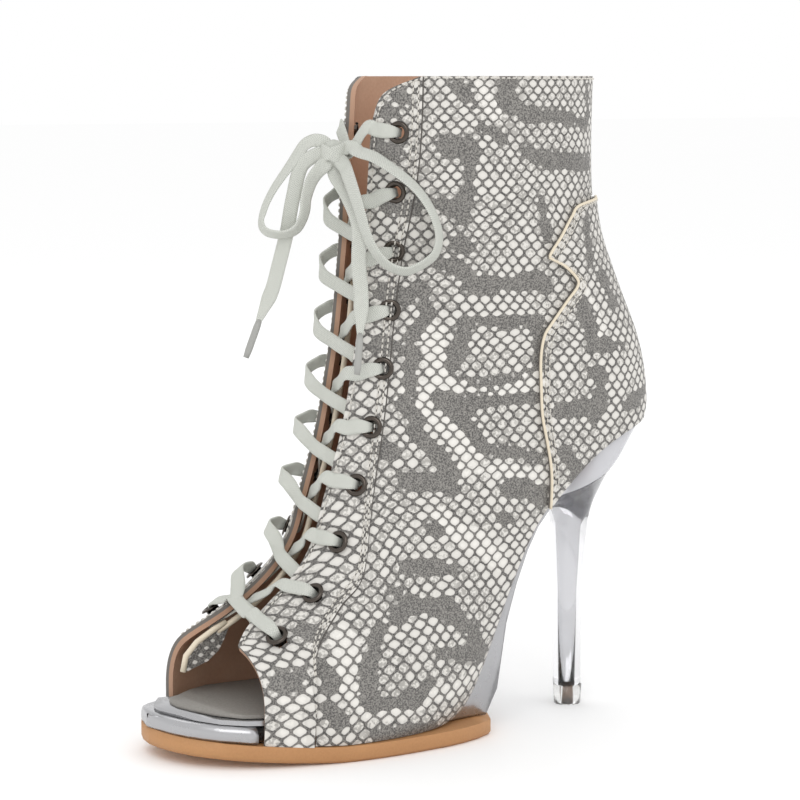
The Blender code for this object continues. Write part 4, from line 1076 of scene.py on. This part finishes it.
# Strokes of the chart in points of the photograph: both ends and the half width
Stroke = namedtuple("Stroke", "x1 y1 x2 y2 half")
DARK = [Stroke(*row) for row in (
    (505, 80, 508, 105, 9), (508, 105, 535, 115, 8), (535, 116, 586, 123, 6), (586, 82, 588, 118, 4),
    (445, 145, 470, 150, 10), (470, 152, 468, 198, 8), (455, 85, 466, 92, 6), (466, 92, 474, 108, 6),
    (480, 126, 505, 143, 5), (525, 152, 555, 163, 7), (555, 163, 588, 163, 9), (543, 200, 547, 236, 5),
    (441, 205, 462, 214, 7), (458, 245, 474, 250, 7), (437, 262, 470, 275, 7), (470, 282, 545, 284, 9),
    (372, 147, 397, 155, 9), (400, 86, 411, 104, 7), (384, 111, 396, 112, 5), (390, 206, 415, 210, 6),
    (583, 215, 589, 262, 5), (596, 276, 611, 302, 9), (386, 292, 410, 299, 9), (422, 290, 430, 314, 8),
    (420, 325, 413, 334, 6), (460, 335, 470, 323, 8), (470, 321, 540, 321, 5), (536, 330, 538, 360, 6),
    (454, 348, 451, 369, 8), (454, 376, 490, 385, 5), (490, 385, 524, 374, 4), (524, 373, 540, 364, 5),
    (379, 346, 403, 350, 8), (411, 352, 408, 392, 6), (440, 401, 470, 408, 9), (470, 402, 538, 398, 5),
    (456, 415, 466, 424, 7), (470, 428, 482, 448, 7), (482, 450, 542, 456, 6), (406, 406, 418, 420, 8),
    (412, 432, 436, 450, 7), (438, 452, 455, 474, 8), (404, 484, 450, 486, 9), (380, 446, 394, 450, 7),
    (504, 488, 542, 496, 9), (560, 408, 600, 405, 9), (576, 302, 584, 318, 7), (588, 327, 590, 345, 8),
    (592, 346, 620, 345, 6), (626, 330, 640, 360, 6), (590, 372, 600, 376, 7), (590, 390, 592, 420, 5),
    (620, 406, 640, 388, 7), (562, 456, 574, 470, 9), (408, 569, 454, 569, 8), (386, 592, 398, 593, 5),
    (395, 612, 450, 606, 8), (450, 608, 474, 634, 9), (474, 638, 481, 655, 9), (440, 655, 472, 655, 7),
    (381, 626, 374, 650, 8), (370, 662, 370, 700, 9), (376, 706, 420, 698, 8), (422, 698, 432, 680, 7),
    (378, 736, 430, 728, 9), (432, 728, 476, 700, 7), (324, 664, 330, 690, 7), (326, 708, 340, 720, 9),
    (290, 684, 300, 675, 8), (263, 706, 268, 736, 8), (304, 630, 312, 636, 8), (498, 604, 508, 608, 6),
    (430, 530, 440, 532, 6), (500, 520, 512, 516, 5), (280, 672, 276, 690, 5),
)]
PALE = [Stroke(*row) for row in (
    (430, 340, 441, 370, 14), (398, 394, 445, 385, 8), (445, 389, 500, 391, 9), (500, 391, 538, 380, 8),
    (415, 402, 462, 440, 10), (462, 440, 480, 453, 8), (590, 312, 600, 335, 9), (580, 286, 585, 310, 6),
    (345, 640, 350, 665, 13), (346, 680, 365, 706, 9), (366, 712, 402, 713, 8), (400, 708, 445, 690, 9),
    (445, 690, 482, 668, 8), (288, 702, 300, 692, 10), (288, 722, 294, 736, 10), (475, 84, 500, 118, 6),
    (470, 468, 540, 478, 7), (440, 520, 500, 560, 10),
)]


def outside_tree():
    """Outer side of the upper for lines of sight, with its faces and their places on the flat chart."""
    points, faces, flats = [], [], []
    width = GRID_COLUMNS + 1
    for line, _, flat in GRID[-1]:
        points += line
        flats += flat
    for i in range(len(GRID[-1]) - 1):
        for j in range(GRID_COLUMNS):
            a = i * width + j
            faces.append([a, a + 1, a + width + 1, a + width])
    return BVHTree.FromPolygons(points, faces), faces, flats


def charted(strokes):
    """Strokes moved from the photograph onto the flat chart, by lines of sight to the outer side."""
    tree, faces, flats = outside_tree()
    pixels_per_mm = FOCAL / (CAMERA_DISTANCE / MILLIMETRE)

    def flat_at(x, y):
        hit = tree.ray_cast(EYE, line_of_sight(x, y).normalized())
        if hit[0] is None:
            return None
        face = faces[hit[2]]
        return tuple(sum(flats[c][k] for c in face) / 4 for k in (0, 1))

    found = []
    for stroke in strokes:
        ends = flat_at(stroke.x1, stroke.y1), flat_at(stroke.x2, stroke.y2)
        if None not in ends:
            found.append((*ends[0], *ends[1], stroke.half / pixels_per_mm))
    return found


DARK_MARKS, PALE_MARKS = charted(DARK), charted(PALE)


FIELD_STEP = 1.5
FIELD_REACH = 6.0
UNEVENNESS = 2.6
BARE = [-FIELD_REACH, -FIELD_REACH]


@lru_cache(maxsize=None)
def field_at(i, j):
    """How far inside a dark blotch and a pale band a point of the chart's field lies."""
    u, v = i * FIELD_STEP, j * FIELD_STEP
    found = []
    for marks in (DARK_MARKS, PALE_MARKS):
        depth = max(half - stroke_distance(u, v, x1, y1, x2, y2) for x1, y1, x2, y2, half in marks)
        uneven = noise.noise(Vector((u * 0.11, v * 0.11, 5.0 + len(found)))) * UNEVENNESS
        found.append(max(depth + uneven, -FIELD_REACH))
    return found


def marked(u, v):
    """Lattice place of a point and its depth in the blotches and in the bands."""
    i, j = math.floor(u / FIELD_STEP), math.floor(v / FIELD_STEP)
    s, t = u / FIELD_STEP - i, v / FIELD_STEP - j
    corners = field_at(i, j), field_at(i + 1, j), field_at(i, j + 1), field_at(i + 1, j + 1)
    weights = (1 - s) * (1 - t), s * (1 - t), (1 - s) * t, s * t
    return lattice(u, v), [sum(w * c[k] for w, c in zip(weights, corners)) for k in (0, 1)]


# Edges of the panels along each row
def outline_spots(outline):
    """Smooth side-view outline in millimetres."""
    spots = [(along(p.x), height(p.level)) for p in outline]
    return [tuple(blend(spots, k / 8)) for k in range(8 * (len(spots) - 1) + 1)]


SEAM = outline_spots(SEAM_OUTLINE)
BEHIND = REAR_REACH + 30
COUNTER = outline_spots(COUNTER_OUTLINE) + [(BEHIND, height(1.66)), (BEHIND, 0.0), (along(0.598), 0.0)]


def before_seam(spot):
    """Whether a point lies in front of the panel's seam."""
    for (x1, z1), (x2, z2) in zip(SEAM, SEAM[1:]):
        if z1 <= spot.z <= z2:
            return spot.x < x1 + (x2 - x1) * (spot.z - z1) / max(z2 - z1, 1e-6)
    return spot.x < SEAM[-1][0]


def in_counter(spot):
    """Whether a point lies within the counter's outline, seen from the side."""
    inside = False
    x0, z0 = COUNTER[-1]
    for x, z in COUNTER:
        if (z > spot.z) != (z0 > spot.z) and spot.x < (x0 - x) * (spot.z - z) / (z0 - z) + x:
            inside = not inside
        x0, z0 = x, z
    return inside


def turning_share(side, position, test, shares):
    """Share at which a test first fails along the shares, found by halving."""
    last = None
    for share in shares:
        if not test(sample(side, position, share)[0]):
            if last is None:
                return None
            low, high = last, share
            for _ in range(12):
                middle = (low + high) / 2
                if test(sample(side, position, middle)[0]):
                    low = middle
                else:
                    high = middle
            return low
        last = share
    return shares[-1]


@lru_cache(maxsize=None)
def seam_share(side, position):
    """Share of a row at which the panel's seam crosses it."""
    found = turning_share(side, position, before_seam, [1 - k / 40 for k in range(41)])
    return 1.0 if found is None else found


@lru_cache(maxsize=None)
def counter_share(side, position):
    """Share of a row at which the counter ends, or None where the row doesn't touch it."""
    return turning_share(side, position, in_counter, [k / 60 for k in range(61)])


frames = eyelet_frames()
EYELET_AXES = [(centre, normal) for side in (-1, 1) for _, centre, normal in frames[side]]
HOLE_REACH = 3.1
HOLE_NEAR = 12.0


def in_hole(spot):
    """Whether a point lies where an eyelet goes through."""
    for centre, normal in EYELET_AXES:
        away = spot - centre
        if away.length < HOLE_NEAR and (away - normal * away.dot(normal)).length < HOLE_REACH:
            return True
    return False


def patch(builder, side, positions, shares, columns, lift, under=None, marks=None, holes=False):
    """Part of the outside between two shares, with a rim down to a lower level where asked."""
    rows, charts, lower = [], [], []
    marks += [BARE] * (len(builder.points) - len(marks))
    for position in positions:
        low, high = shares(position)
        row, chart, below = [], [], []
        for j in range(columns + 1):
            spot, normal, flat = sample(side, position, low + (high - low) * j / columns)
            rise = lift - pressed(spot)
            row.append(spot + normal * rise)
            below.append(spot + normal * ((under or 0.0) - pressed(spot)))
            place, values = marked(*flat)
            chart.append(place)
            marks.append(values)
        rows.append(row)
        charts.append(chart)
        lower.append(below)
    builder.add(rows, charts=charts, skip=in_hole if holes else None, flip=side > 0)
    if under is None:
        return rows
    edges = [
        ([row[0] for row in rows], [row[0] for row in lower], [c[0] for c in charts], side < 0),
        ([row[-1] for row in rows], [row[-1] for row in lower], [c[-1] for c in charts], side > 0),
        (rows[0], lower[0], charts[0], side > 0),
        (rows[-1], lower[-1], charts[-1], side < 0),
    ]
    for top, bottom, chart, flip in edges:
        builder.add([top, bottom], 1, charts=[chart, chart], flip=flip)
        marks += [BARE] * (2 * len(top))
    return rows


def spread_positions(first, last, count):
    """Positions in equal steps, with both ends."""
    return [first + (last - first) * k / count for k in range(count + 1)]


PANEL_LIFT = CLEARANCE + OVERLAY
PRINT_ROWS = 300
PRINT_COLUMNS = 56
TUCKED = 0.03


def make_upper():
    """Quarters between the panels, with the lining and the cut edges."""
    builder, marks = Builder(), []
    for side in (-1, 1):
        used = [p for p in spread_positions(0.0, float(LAST), PRINT_ROWS) if seam_share(side, p) > 0.0]

        def shares(position):
            rear = counter_share(side, position)
            return max((rear or 0.0) - TUCKED, 0.0), min(seam_share(side, position) + TUCKED, 1.0)

        patch(builder, side, used, shares, PRINT_COLUMNS, 0.0, marks=marks)
        inner = [[spot - normal * (WALL + pressed(spot)) for spot, normal in zip(line, normals)]
                 for line, normals, _ in GRID[side]]
        builder.add(inner, 1, skip=in_hole, flip=side < 0)
        outer = [[spot - normal * (pressed(spot) - 0.02) for spot, normal in zip(line, normals)]
                 for line, normals, _ in GRID[side]]
        for top, bottom, flip in (
            ([row[-1] for row in outer], [row[-1] for row in inner], side > 0),
            ([row[0] for row in outer], [row[0] for row in inner], side < 0),
            (outer[0], inner[0], side > 0),
            (outer[-1], inner[-1], side < 0),
        ):
            builder.add([top, bottom], 2, flip=flip)
    return printed(builder, "upper", [SKIN, LINING, TAN_EDGE], marks)


def printed(builder, name, finishes, marks):
    """Piece with the print's blotches and bands held at its points."""
    marks += [BARE] * (len(builder.points) - len(marks))
    held = {"dark": [dark for dark, _ in marks], "pale": [pale for _, pale in marks]}
    return builder.made(name, finishes, held, [name], "snakeskin_print")


def make_eyestay(side, name):
    """Front panel from its seam to the throat's edge."""
    builder, marks = Builder(), []
    rows = spread_positions(0.0, float(LAST), PRINT_ROWS)
    patch(builder, side, rows, lambda p: (seam_share(side, p), 1.0), PRINT_COLUMNS,
          PANEL_LIFT, under=0.0, marks=marks, holes=True)
    return printed(builder, name, [SKIN, CUT_EDGE], marks)


COUNTER_COLUMNS = 44
PIPING_RADIUS = 0.55


def panel_line(side, positions, share_at, lift):
    """Places and directions along the outside, for a share that depends on the position."""
    line = []
    for position in positions:
        share = min(max(share_at(position), 0.0), 1.0)
        spot, normal, _ = sample(side, position, share)
        line.append((spot + normal * (lift - pressed(spot)), normal))
    return line


def make_counter():
    """Counter round the back of the heel, with its cream edge."""
    builder, marks = Builder(), []
    lift = COUNTER_GAP + OVERLAY
    for side in (-1, 1):
        used = [p for p in spread_positions(0.0, float(LAST), 2 * PRINT_ROWS) if counter_share(side, p)]
        patch(builder, side, used, lambda p: (0.0, counter_share(side, p)), COUNTER_COLUMNS,
              lift, under=0.0, marks=marks)
        rim = panel_line(side, used[::2], lambda p: counter_share(side, p), lift)
        tube(builder, [spot for spot, _ in rim], PIPING_RADIUS, 2)
    return printed(builder, "counter", [SKIN, CUT_EDGE, CREAM], marks)


def tube(builder, line, radius, slot, sides=8):
    """Round cord along a line."""
    rows = []
    for k, spot in enumerate(line):
        run = (line[min(k + 1, len(line) - 1)] - line[max(k - 1, 0)]).normalized()
        side = run.cross(TO_CAMERA).normalized()
        depth = run.cross(side)
        rows.append([spot + (side * math.cos(a) + depth * math.sin(a)) * radius for a in turns(sides)])
    builder.add(rows, slot, around=True, capped=True)


# Printed leaf at the tongue's toe end: both its edges in points of the photograph, on one upright plane
LEAF_PLANE = 11.0
LEAF_FRONT = [(183, 672), (186, 656), (197, 642), (213, 630), (226, 622)]
LEAF_BACK = [(186, 672), (208, 661), (219, 650), (225, 637), (230, 624)]
LEAF_THICKNESS = 0.8
# Blotch and band depths for the leaf: the blotch depth covers it in the print's dark colour, as painted
# shade for the shadow inside the toe
LEAF_PAINTED_SHADE = [0.15, -FIELD_REACH]
CREAM_RADIUS = 1.15
CREAM_SIDES = 10


def on_upright(x, y, plane):
    """Place where the line of sight through a point of the photograph meets a plane along the shoe."""
    sight = line_of_sight(x, y)
    return EYE + sight * ((plane - EYE.y) / sight.y)


def add_leaf(builder):
    """Printed leaf with its cream edge."""
    rows = []
    for front, back in zip(LEAF_FRONT, LEAF_BACK):
        first, last = on_upright(*front, LEAF_PLANE), on_upright(*back, LEAF_PLANE)
        rows.append([first.lerp(last, k / 4) for k in range(5)])
    deeper = [[spot + Vector((0, LEAF_THICKNESS, 0)) for spot in row] for row in rows]
    charts = [[((spot.x + spot.z) / 5, (spot.x - spot.z) / 5) for spot in row] for row in rows]
    builder.add(rows, 2, charts=charts)
    builder.add(deeper, 2, charts=charts, flip=True)
    for near, far in ((rows[0], deeper[0]), (rows[-1], deeper[-1])):
        builder.add([near, far], 2)
    for k in (0, -1):
        builder.add([[row[k] for row in rows], [row[k] for row in deeper]], 2)
    tube(builder, [row[0] for row in rows], CREAM_RADIUS, 0, CREAM_SIDES)


def make_tongue():
    """Narrow underlay with its thick cream edge."""
    builder = Builder()
    top, bottom = [], []
    width, count = 7, 110
    for k in range(count + 1):
        position, free, back = blend(TONGUE_STRIP, (len(TONGUE_STRIP) - 1) * k / count)
        near, far = [], []
        for m in range(width + 1):
            inset = free + (back - free) * m / width
            curve = section_curve(position, 1)
            lengths = measured(curve)
            spot = at_length(curve, lengths, lengths[-1] - inset)
            normal = sample(1, position, max(1 - inset / lengths[-1], 0.0))[1]
            near.append(spot - normal * TONGUE_DEPTH)
            far.append(spot - normal * (TONGUE_DEPTH + TONGUE_THICKNESS))
        top.append(near)
        bottom.append(far)
    builder.add([row[:3] for row in top], 0, flip=True)
    builder.add([row[2:] for row in top], 1, flip=True)
    builder.add(bottom, 1)
    plain_points = len(builder.points)
    add_leaf(builder)
    # The leaf's points carry its painted shade
    marks = [BARE] * plain_points + [LEAF_PAINTED_SHADE] * (len(builder.points) - plain_points)
    builder.add([[row[0] for row in top], [row[0] for row in bottom]], 0)
    builder.add([[row[-1] for row in top], [row[-1] for row in bottom]], 1, flip=True)
    builder.add([top[0], bottom[0]], 0, flip=True)
    builder.add([top[-1], bottom[-1]], 0)
    tube(builder, [(a[0] + b[0]) / 2 for a, b in zip(top, bottom)], CREAM_RADIUS, 0, CREAM_SIDES)
    return printed(builder, "tongue", [CREAM, LINING, SKIN], marks)


# Eyelet: radius and height off the panel, from the barrel's inside over the rolled flange to its outside
EYELET_PROFILE = [
    (2.1, -3.2), (2.25, -0.6), (2.45, 0.55), (2.75, 0.95), (3.3, 1.15), (3.9, 1.0),
    (4.3, 0.55), (4.3, 0.3), (3.4, 0.3), (2.7, 0.2), (2.6, -3.2),
]
EYELET_SIDES = 32


def make_eyelet(name, centre, normal):
    """Rolled metal eyelet, its barrel's inside near-black as painted shade in the hole."""
    builder = Builder()
    turn = normal.to_track_quat("Z", "Y")
    rows = []
    for angle in turns(EYELET_SIDES):
        out = Vector((math.cos(angle), math.sin(angle), 0.0))
        rows.append([centre + turn @ (out * r + Vector((0, 0, z))) for r, z in EYELET_PROFILE])
    builder.add(rows + [rows[0]], around=True)
    ring = len(EYELET_PROFILE)
    # Faces down the barrel's inside and at its foot take the painted shade
    builder.slots = [1 if f % ring in (0, ring - 1) else 0 for f in range(len(builder.faces))]
    return builder.made(name, [BRONZE, HOLE_SHADE], replaced=[name], slot="dark_bronze")


make_upper()
make_eyestay(-1, "eyestay_lateral")
make_eyestay(1, "eyestay_medial")
make_counter()
make_tongue()
for side, word in ((-1, "lateral"), (1, "medial")):
    for n, (_, centre, normal) in enumerate(frames[side], 1):
        make_eyelet(f"eyelet_{word}_{n:02d}", centre, normal)


# Straps between the eyelets
def hole_spots(side, n, target, loose=0.0):
    """Places by which a strap comes up out of an eyelet and turns towards a target."""
    _, centre, normal = frames[side][n]
    lead = target - centre
    lead = (lead - normal * lead.dot(normal)).normalized()
    return [
        (centre + lead * 0.3 - normal * 2.6, -lead, 0.62),
        (centre + lead * 0.7 + normal * 0.3, (normal * 0.4 - lead).normalized(), 0.66),
        (centre + lead * 2.4 + normal * (1.55 + loose * 0.2), (normal * 4 - lead).normalized(), 0.85),
        (centre + lead * 5.2 + normal * (1.6 + loose), normal, 1.0),
    ]


def share_of_way(n, share):
    """Position between an eyelet's row and the next."""
    return frames[-1][n][0] + (frames[-1][n + 1][0] - frames[-1][n][0]) * share


def on_side(side, n, share, inset, offset, width=1.0):
    """Place of a strap by one side of the throat, some share of the way from an eyelet to the next."""
    position = share_of_way(n, share)
    spot, normal = lace_spot(side, position, inset, offset)
    if inset < 0:
        other = lace_spot(-side, position, inset, offset)[1]
        normal = (normal * 1.2 + other).normalized()
    return (spot, normal, width)


def gap_middle(n, share, offset):
    """Place of a strap in the middle of the throat."""
    position = share_of_way(n, share)
    ends = [lace_spot(side, position, -0.96 * THROAT_HALF, MEETING) for side in (-1, 1)]
    outward = (ends[0][1] + ends[1][1]).normalized()
    return ((ends[0][0] + ends[1][0]) / 2 + outward * offset, outward, 1.0)


def into_hole(side, n, share_from):
    """Places by which a strap goes under the throat's edge into an eyelet from inside."""
    reach = eyelet_inset(n + 1)
    _, centre, normal = frames[side][n + 1]
    return [
        on_side(side, n, share_from, 0.0, UNDER),
        on_side(side, n, (share_from + 1) / 2, 5.0, UNDER),
        on_side(side, n, 0.97, reach - 2.5, UNDER - 0.4, 0.8),
        (centre - normal * 3.6, normal, 0.6),
    ]


# How far each outer strap hangs off the medial side
LOOSE = [0.0, 5.2, 6.2, 6.4, 6.4, 7.0, 7.2, 6.2, 5.2, 4.4]
for n in range(1, EYELETS_A_SIDE - 1):
    edge, normal = edge_spot(-1, share_of_way(n, 0.32))
    rising = hole_spots(-1, n, edge) + [
        on_side(-1, n, 0.24, OVER_REACH, OVER - 0.5),
        (edge, normal, 1.0),
        on_side(-1, n, 0.42, GAP_STOP, OVER_GAP),
        gap_middle(n, 0.51, 0.2),
        on_side(1, n, 0.6, GAP_STOP, UNDER_GAP),
    ] + into_hole(1, n, 0.68)
    edge, normal = edge_spot(1, share_of_way(n, 0.66))
    hung = LOOSE[n]
    falling = hole_spots(1, n, lace_spot(1, share_of_way(n, 0.25), 3.0, 0.0)[0], 0.5 * hung) + [
        on_side(1, n, 0.36, 3.0, OVER + hung),
        (edge + normal * (0.45 * hung), normal, 1.0),
        on_side(1, n, 0.78, GAP_STOP, OVER_GAP + 0.12 * hung),
        gap_middle(n, 0.86, 1.4),
        on_side(-1, n, 0.93, GAP_STOP, UNDER_GAP + 0.6),
    ] + into_hole(-1, n, 0.98)
    lace_piece(f"lace_crossing_{n}", [rising, falling], [f"lace_crossing_{n}"])


def half_bar(side, n, loose):
    """Strap from outside an eyelet straight over the throat's edge."""
    start = frames[side][n][0]
    edge, normal = edge_spot(side, start)
    over = lace_spot(side, start, OVER_REACH, OVER - 0.4)
    return hole_spots(side, n, edge, loose) + [(*over, 1.0), (edge, normal, 1.0)]


bar = []
for side in (1, -1):
    gap = lace_spot(side, frames[side][EYELETS_A_SIDE - 1][0], GAP_STOP, OVER_GAP + 0.6)
    bar.append(half_bar(side, EYELETS_A_SIDE - 1, 0.6) + [(*gap, 1.0)])
lace_piece("lace_bottom", [bar[0] + bar[1][::-1]], ["lace_bottom"])

bars = []
for side in (1, -1):
    towards_knot = [
        (Vector(TOP_BAR_MIDDLE) + Vector((-1.0, 2.0 * side, -0.5)), Vector((-1, 0, 0)), 1.0),
        (Vector(KNOT_CENTRE) + Vector((2.6, 0.8 * side, 0)), Vector((-1, 0, 0)), 0.9),
    ]
    bars.append(half_bar(side, 0, 0.4) + towards_knot)
lace_piece("lace_top", bars, ["lace_top"])


# Sole, platform, insole, pad and tip: their solids' own forms with rounded shading
ROUND_SHADING = math.radians(38)


def smoothed(word, finish):
    """Copy of a solid's mesh, welded and shaded smooth except at its sharp edges."""
    solid = bmesh.new()
    solid.from_mesh(nodes[word].data)
    bmesh.ops.remove_doubles(solid, verts=solid.verts, dist=0.00001)
    mesh = bpy.data.meshes.new(word)
    solid.to_mesh(mesh)
    solid.free()
    mesh.materials.clear()
    mesh.materials.append(finish)
    mesh.polygons.foreach_set("material_index", [0] * len(mesh.polygons))
    mesh.polygons.foreach_set("use_smooth", [True] * len(mesh.polygons))
    mesh.set_sharp_from_angle(angle=ROUND_SHADING)
    made = bpy.data.objects.new(word, mesh)
    bpy.context.scene.collection.objects.link(made)
    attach(made, "root")
    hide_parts(word)


smoothed("outsole", TAN)
smoothed("platform", SILVER)
smoothed("insole", SILVER)
smoothed("sock_pad", PAD)
smoothed("heel_tip", CLEAR_TIP)


# Heel
HEEL_SIDES = 48
RING_SUBSTEPS = 6
CUP_ROWS = 8
CUP_FRONT = 0.676
CUP_BACK = 0.962
CUP_HALF = 28.5
CAVITY_SIDES = 24
# Hollow in the stem: height above the tip, half sizes and shift of its centre to the back
HOLLOW_RINGS = [
    (1.2, 2.2, 2.2, 0.2), (40, 2.5, 2.5, 0.2), (66, 3.2, 3.6, 0.6), (80, 5.4, 7.0, 1.5),
    (92, 8.4, 11.5, 2.5), (96, 6.0, 8.0, 2.8),
]


def seat_half(tree, x, level):
    """Half width of the upper at a distance and a height."""
    hit = tree.ray_cast(Vector((x, 0, level)), Vector((0, -1, 0)))
    return abs(hit[0].y) if hit[0] is not None else 24.0


def make_heel():
    """Clear heel with a smooth flare, and the hollow inside its stem, tinted grey as painted shade."""
    tree = outside_tree()[0]
    scale = (SEAT_HEIGHT - HEEL_TIP_HEIGHT) / (116.0 - 7.6)
    key_rings = []
    for row in HEEL_RINGS:
        ring = []
        for k in range(HEEL_SIDES):
            angle = 2 * math.pi * (k + 0.5) / HEEL_SIDES
            share = (1 + math.cos(angle)) / 2
            x = HEEL_CENTRE + row.front_x + (row.back_x - row.front_x) * share
            z = HEEL_TIP_HEIGHT + CLEARANCE + (row.front_z + (row.back_z - row.front_z) * share) * scale
            seat = on_line(INSOLE_LINE, x) - CLEARANCE - 1.5
            ring += [x, row.half * math.sin(angle), min(z, seat)]
        key_rings.append(ring)
    top = []
    front, back = along(CUP_FRONT), along(CUP_BACK)
    for k in range(HEEL_SIDES):
        angle = 2 * math.pi * (k + 0.5) / HEEL_SIDES
        x = (front + back) / 2 + (back - front) / 2 * math.cos(angle)
        edge = on_line(EDGE_LINE, x) - HEEL_DROP
        half = min(seat_half(tree, x, edge + 2.0), CUP_HALF * abs(math.sin(angle)) ** 0.8) - 0.4
        top += [x, math.copysign(half, math.sin(angle)), min(on_line(INSOLE_LINE, x) - CLEARANCE, edge)]
    key_rings.append(top)
    builder = Builder()
    rows = []
    for k in range(RING_SUBSTEPS * (len(key_rings) - 1) + 1):
        flat = blend(key_rings, k / RING_SUBSTEPS)
        rows.append([Vector(flat[3 * m:3 * m + 3]) for m in range(HEEL_SIDES)])
    builder.add(rows, around=True)
    cup = len(rows) - 1 - CUP_ROWS
    builder.slots = [1 if f // HEEL_SIDES >= cup else 0 for f in range(len(builder.faces))]
    builder.faces.append(list(range(HEEL_SIDES))[::-1])
    builder.slots.append(0)
    start = (len(rows) - 1) * HEEL_SIDES
    for k in range(HEEL_SIDES // 2 - 1):
        across = start + HEEL_SIDES - 1 - k
        builder.faces.append([start + k, start + k + 1, across - 1, across])
        builder.slots.append(1)
    hollow = []
    for z, half_x, half_y, shift in HOLLOW_RINGS:
        middle = Vector((HEEL_CENTRE - 0.6 + shift, 0, HEEL_TIP_HEIGHT + z))
        ways = [Vector((half_x * math.cos(a), half_y * math.sin(a), 0)) for a in turns(CAVITY_SIDES)]
        hollow.append([middle + way for way in ways])
    builder.add(hollow, 2, around=True, capped=True)
    return builder.made("heel", [CLEAR, FROSTED, HOLLOW_PAINTED_SHADE], replaced=["heel"], slot="clear_acrylic")


make_heel()
pin = Builder()
tube(pin, [Vector((HEEL_CENTRE, 0, z)) for z in (1.0, 4.0, 9.5)], 1.6, 0, 16)
pin.made("heel_pin", [PIN])


# Stitches: short raised threads in rows
def stitch_row(builder, line, pitch=2.3, length=1.6, half=0.32):
    """Threads along a line of (place, direction outwards)."""
    spots = [spot for spot, _ in line]
    lengths = measured(spots)
    gone = pitch
    k = 0
    while gone < lengths[-1] - pitch:
        while lengths[k + 1] < gone:
            k += 1
        t = (gone - lengths[k]) / max(lengths[k + 1] - lengths[k], 1e-6)
        spot = spots[k].lerp(spots[k + 1], t)
        normal = line[k][1]
        run = (spots[k + 1] - spots[k]).normalized()
        side = run.cross(normal).normalized()
        ring = []
        for share, lift, size in ((-1, 0.0, 0.5), (-0.6, 0.8, 1.0), (0.6, 0.8, 1.0), (1, 0.0, 0.5)):
            middle = spot + run * (share * length / 2) + normal * (lift * half)
            reach = half * size
            ring.append([middle + way * reach for way in (side, normal, -side, -normal)])
        builder.add(ring, around=True, capped=True)
        gone += pitch


def row_length(side, position):
    """Length of a row of the upper from its lower edge to the throat."""
    line = section_curve(round(position, 2), side)
    return measured(line)[-1]


def throat_share(side, position):
    """Share of a row at which the throat's edge lies."""
    return 1.0


def beside(side, positions, share_at, inset, lift):
    """Line at a distance from an edge that a share gives, towards the throat where it is over 0."""
    return panel_line(side, positions, lambda p: share_at(side, p) + inset / row_length(side, p), lift)


# Rows of stitches: distances from their edges, and the radii of the thin dark tubes of painted shade along
# the rows and along the panel's edge
SEAM_STITCHES = (1.3, 3.3)
COUNTER_STITCHES = (2.2, 4.0)
THROAT_STITCHES = 2.0
SEAM_SHADE_RADIUS = 0.2
EDGE_SHADE_RADIUS = 0.25

threads = Builder()
whole = spread_positions(0.05, LAST - 0.06, 130)
for side in (-1, 1):
    sewn = [p for p in whole if seam_share(side, p) > 0.02]
    for inset in SEAM_STITCHES:
        line = beside(side, sewn, seam_share, inset, PANEL_LIFT)
        stitch_row(threads, line)
        # Thin dark tube of painted shade along the row
        tube(threads, [spot for spot, _ in line], SEAM_SHADE_RADIUS, 1, 5)
    # Thin dark tube of painted shade along the panel's edge
    edge = beside(side, sewn, seam_share, -0.2, 0.3)
    tube(threads, [spot for spot, _ in edge], EDGE_SHADE_RADIUS, 1, 5)
    stitch_row(threads, beside(side, whole, throat_share, -THROAT_STITCHES, PANEL_LIFT))
    rear = [p for p in spread_positions(0.0, float(LAST), 260) if (counter_share(side, p) or 0.0) > 0.06]
    for inset in COUNTER_STITCHES:
        stitch_row(threads, beside(side, rear, counter_share, -inset, COUNTER_GAP + OVERLAY))
    rim_shares = [k / 70 for k in range(71)]
    top_line = []
    for share in rim_shares:
        on_panel = share > seam_share(side, LAST - 0.12)
        spot, normal, _ = sample(side, LAST - 0.12, share)
        top_line.append((spot + normal * ((PANEL_LIFT if on_panel else 0.0) - pressed(spot)), normal))
    stitch_row(threads, top_line)
threads.made("stitches", [THREAD, SEAM_SHADE])


# Floor, light and backdrop
FLOOR_REACH = 12.0
LIT_PLACE = Vector((0.04, 0, 0.12))


def pale_floor():
    """Large pale floor at the soles' height."""
    mesh = bpy.data.meshes.new("floor")
    corners = [(FLOOR_REACH * x, FLOOR_REACH * y, 0) for x, y in ((-1, -1), (1, -1), (1, 1), (-1, 1))]
    mesh.from_pydata(corners, [], [[0, 1, 2, 3]])
    mesh.materials.append(plain("pale_floor", (0.985, 0.985, 0.985, 1.0), 0.9, Specular_IOR_Level=0.0))
    floor = bpy.data.objects.new("floor", mesh)
    bpy.context.scene.collection.objects.link(floor)


def area_light(name, place, size, power):
    """Soft square light that faces the boot."""
    data = bpy.data.lights.new(name, "AREA")
    data.size = size
    data.energy = power
    light = bpy.data.objects.new(name, data)
    light.location = place
    light.rotation_euler = (Vector(place) - LIT_PLACE).to_track_quat("Z", "Y").to_euler()
    bpy.context.scene.collection.objects.link(light)


pale_floor()
area_light("key", (-0.9, -1.4, 1.5), 1.2, 9.0)
area_light("fill", (1.2, -1.0, 0.9), 1.4, 2.0)
area_light("rim", (0.6, 1.4, 1.3), 1.2, 3.0)
world = bpy.data.worlds.new("studio")
world.use_nodes = True
world.node_tree.nodes["Background"].inputs["Color"].default_value = (1.0, 1.0, 1.0, 1.0)
world.node_tree.nodes["Background"].inputs["Strength"].default_value = 1.0
bpy.context.scene.world = world
bpy.context.scene.view_settings.view_transform = "Standard"
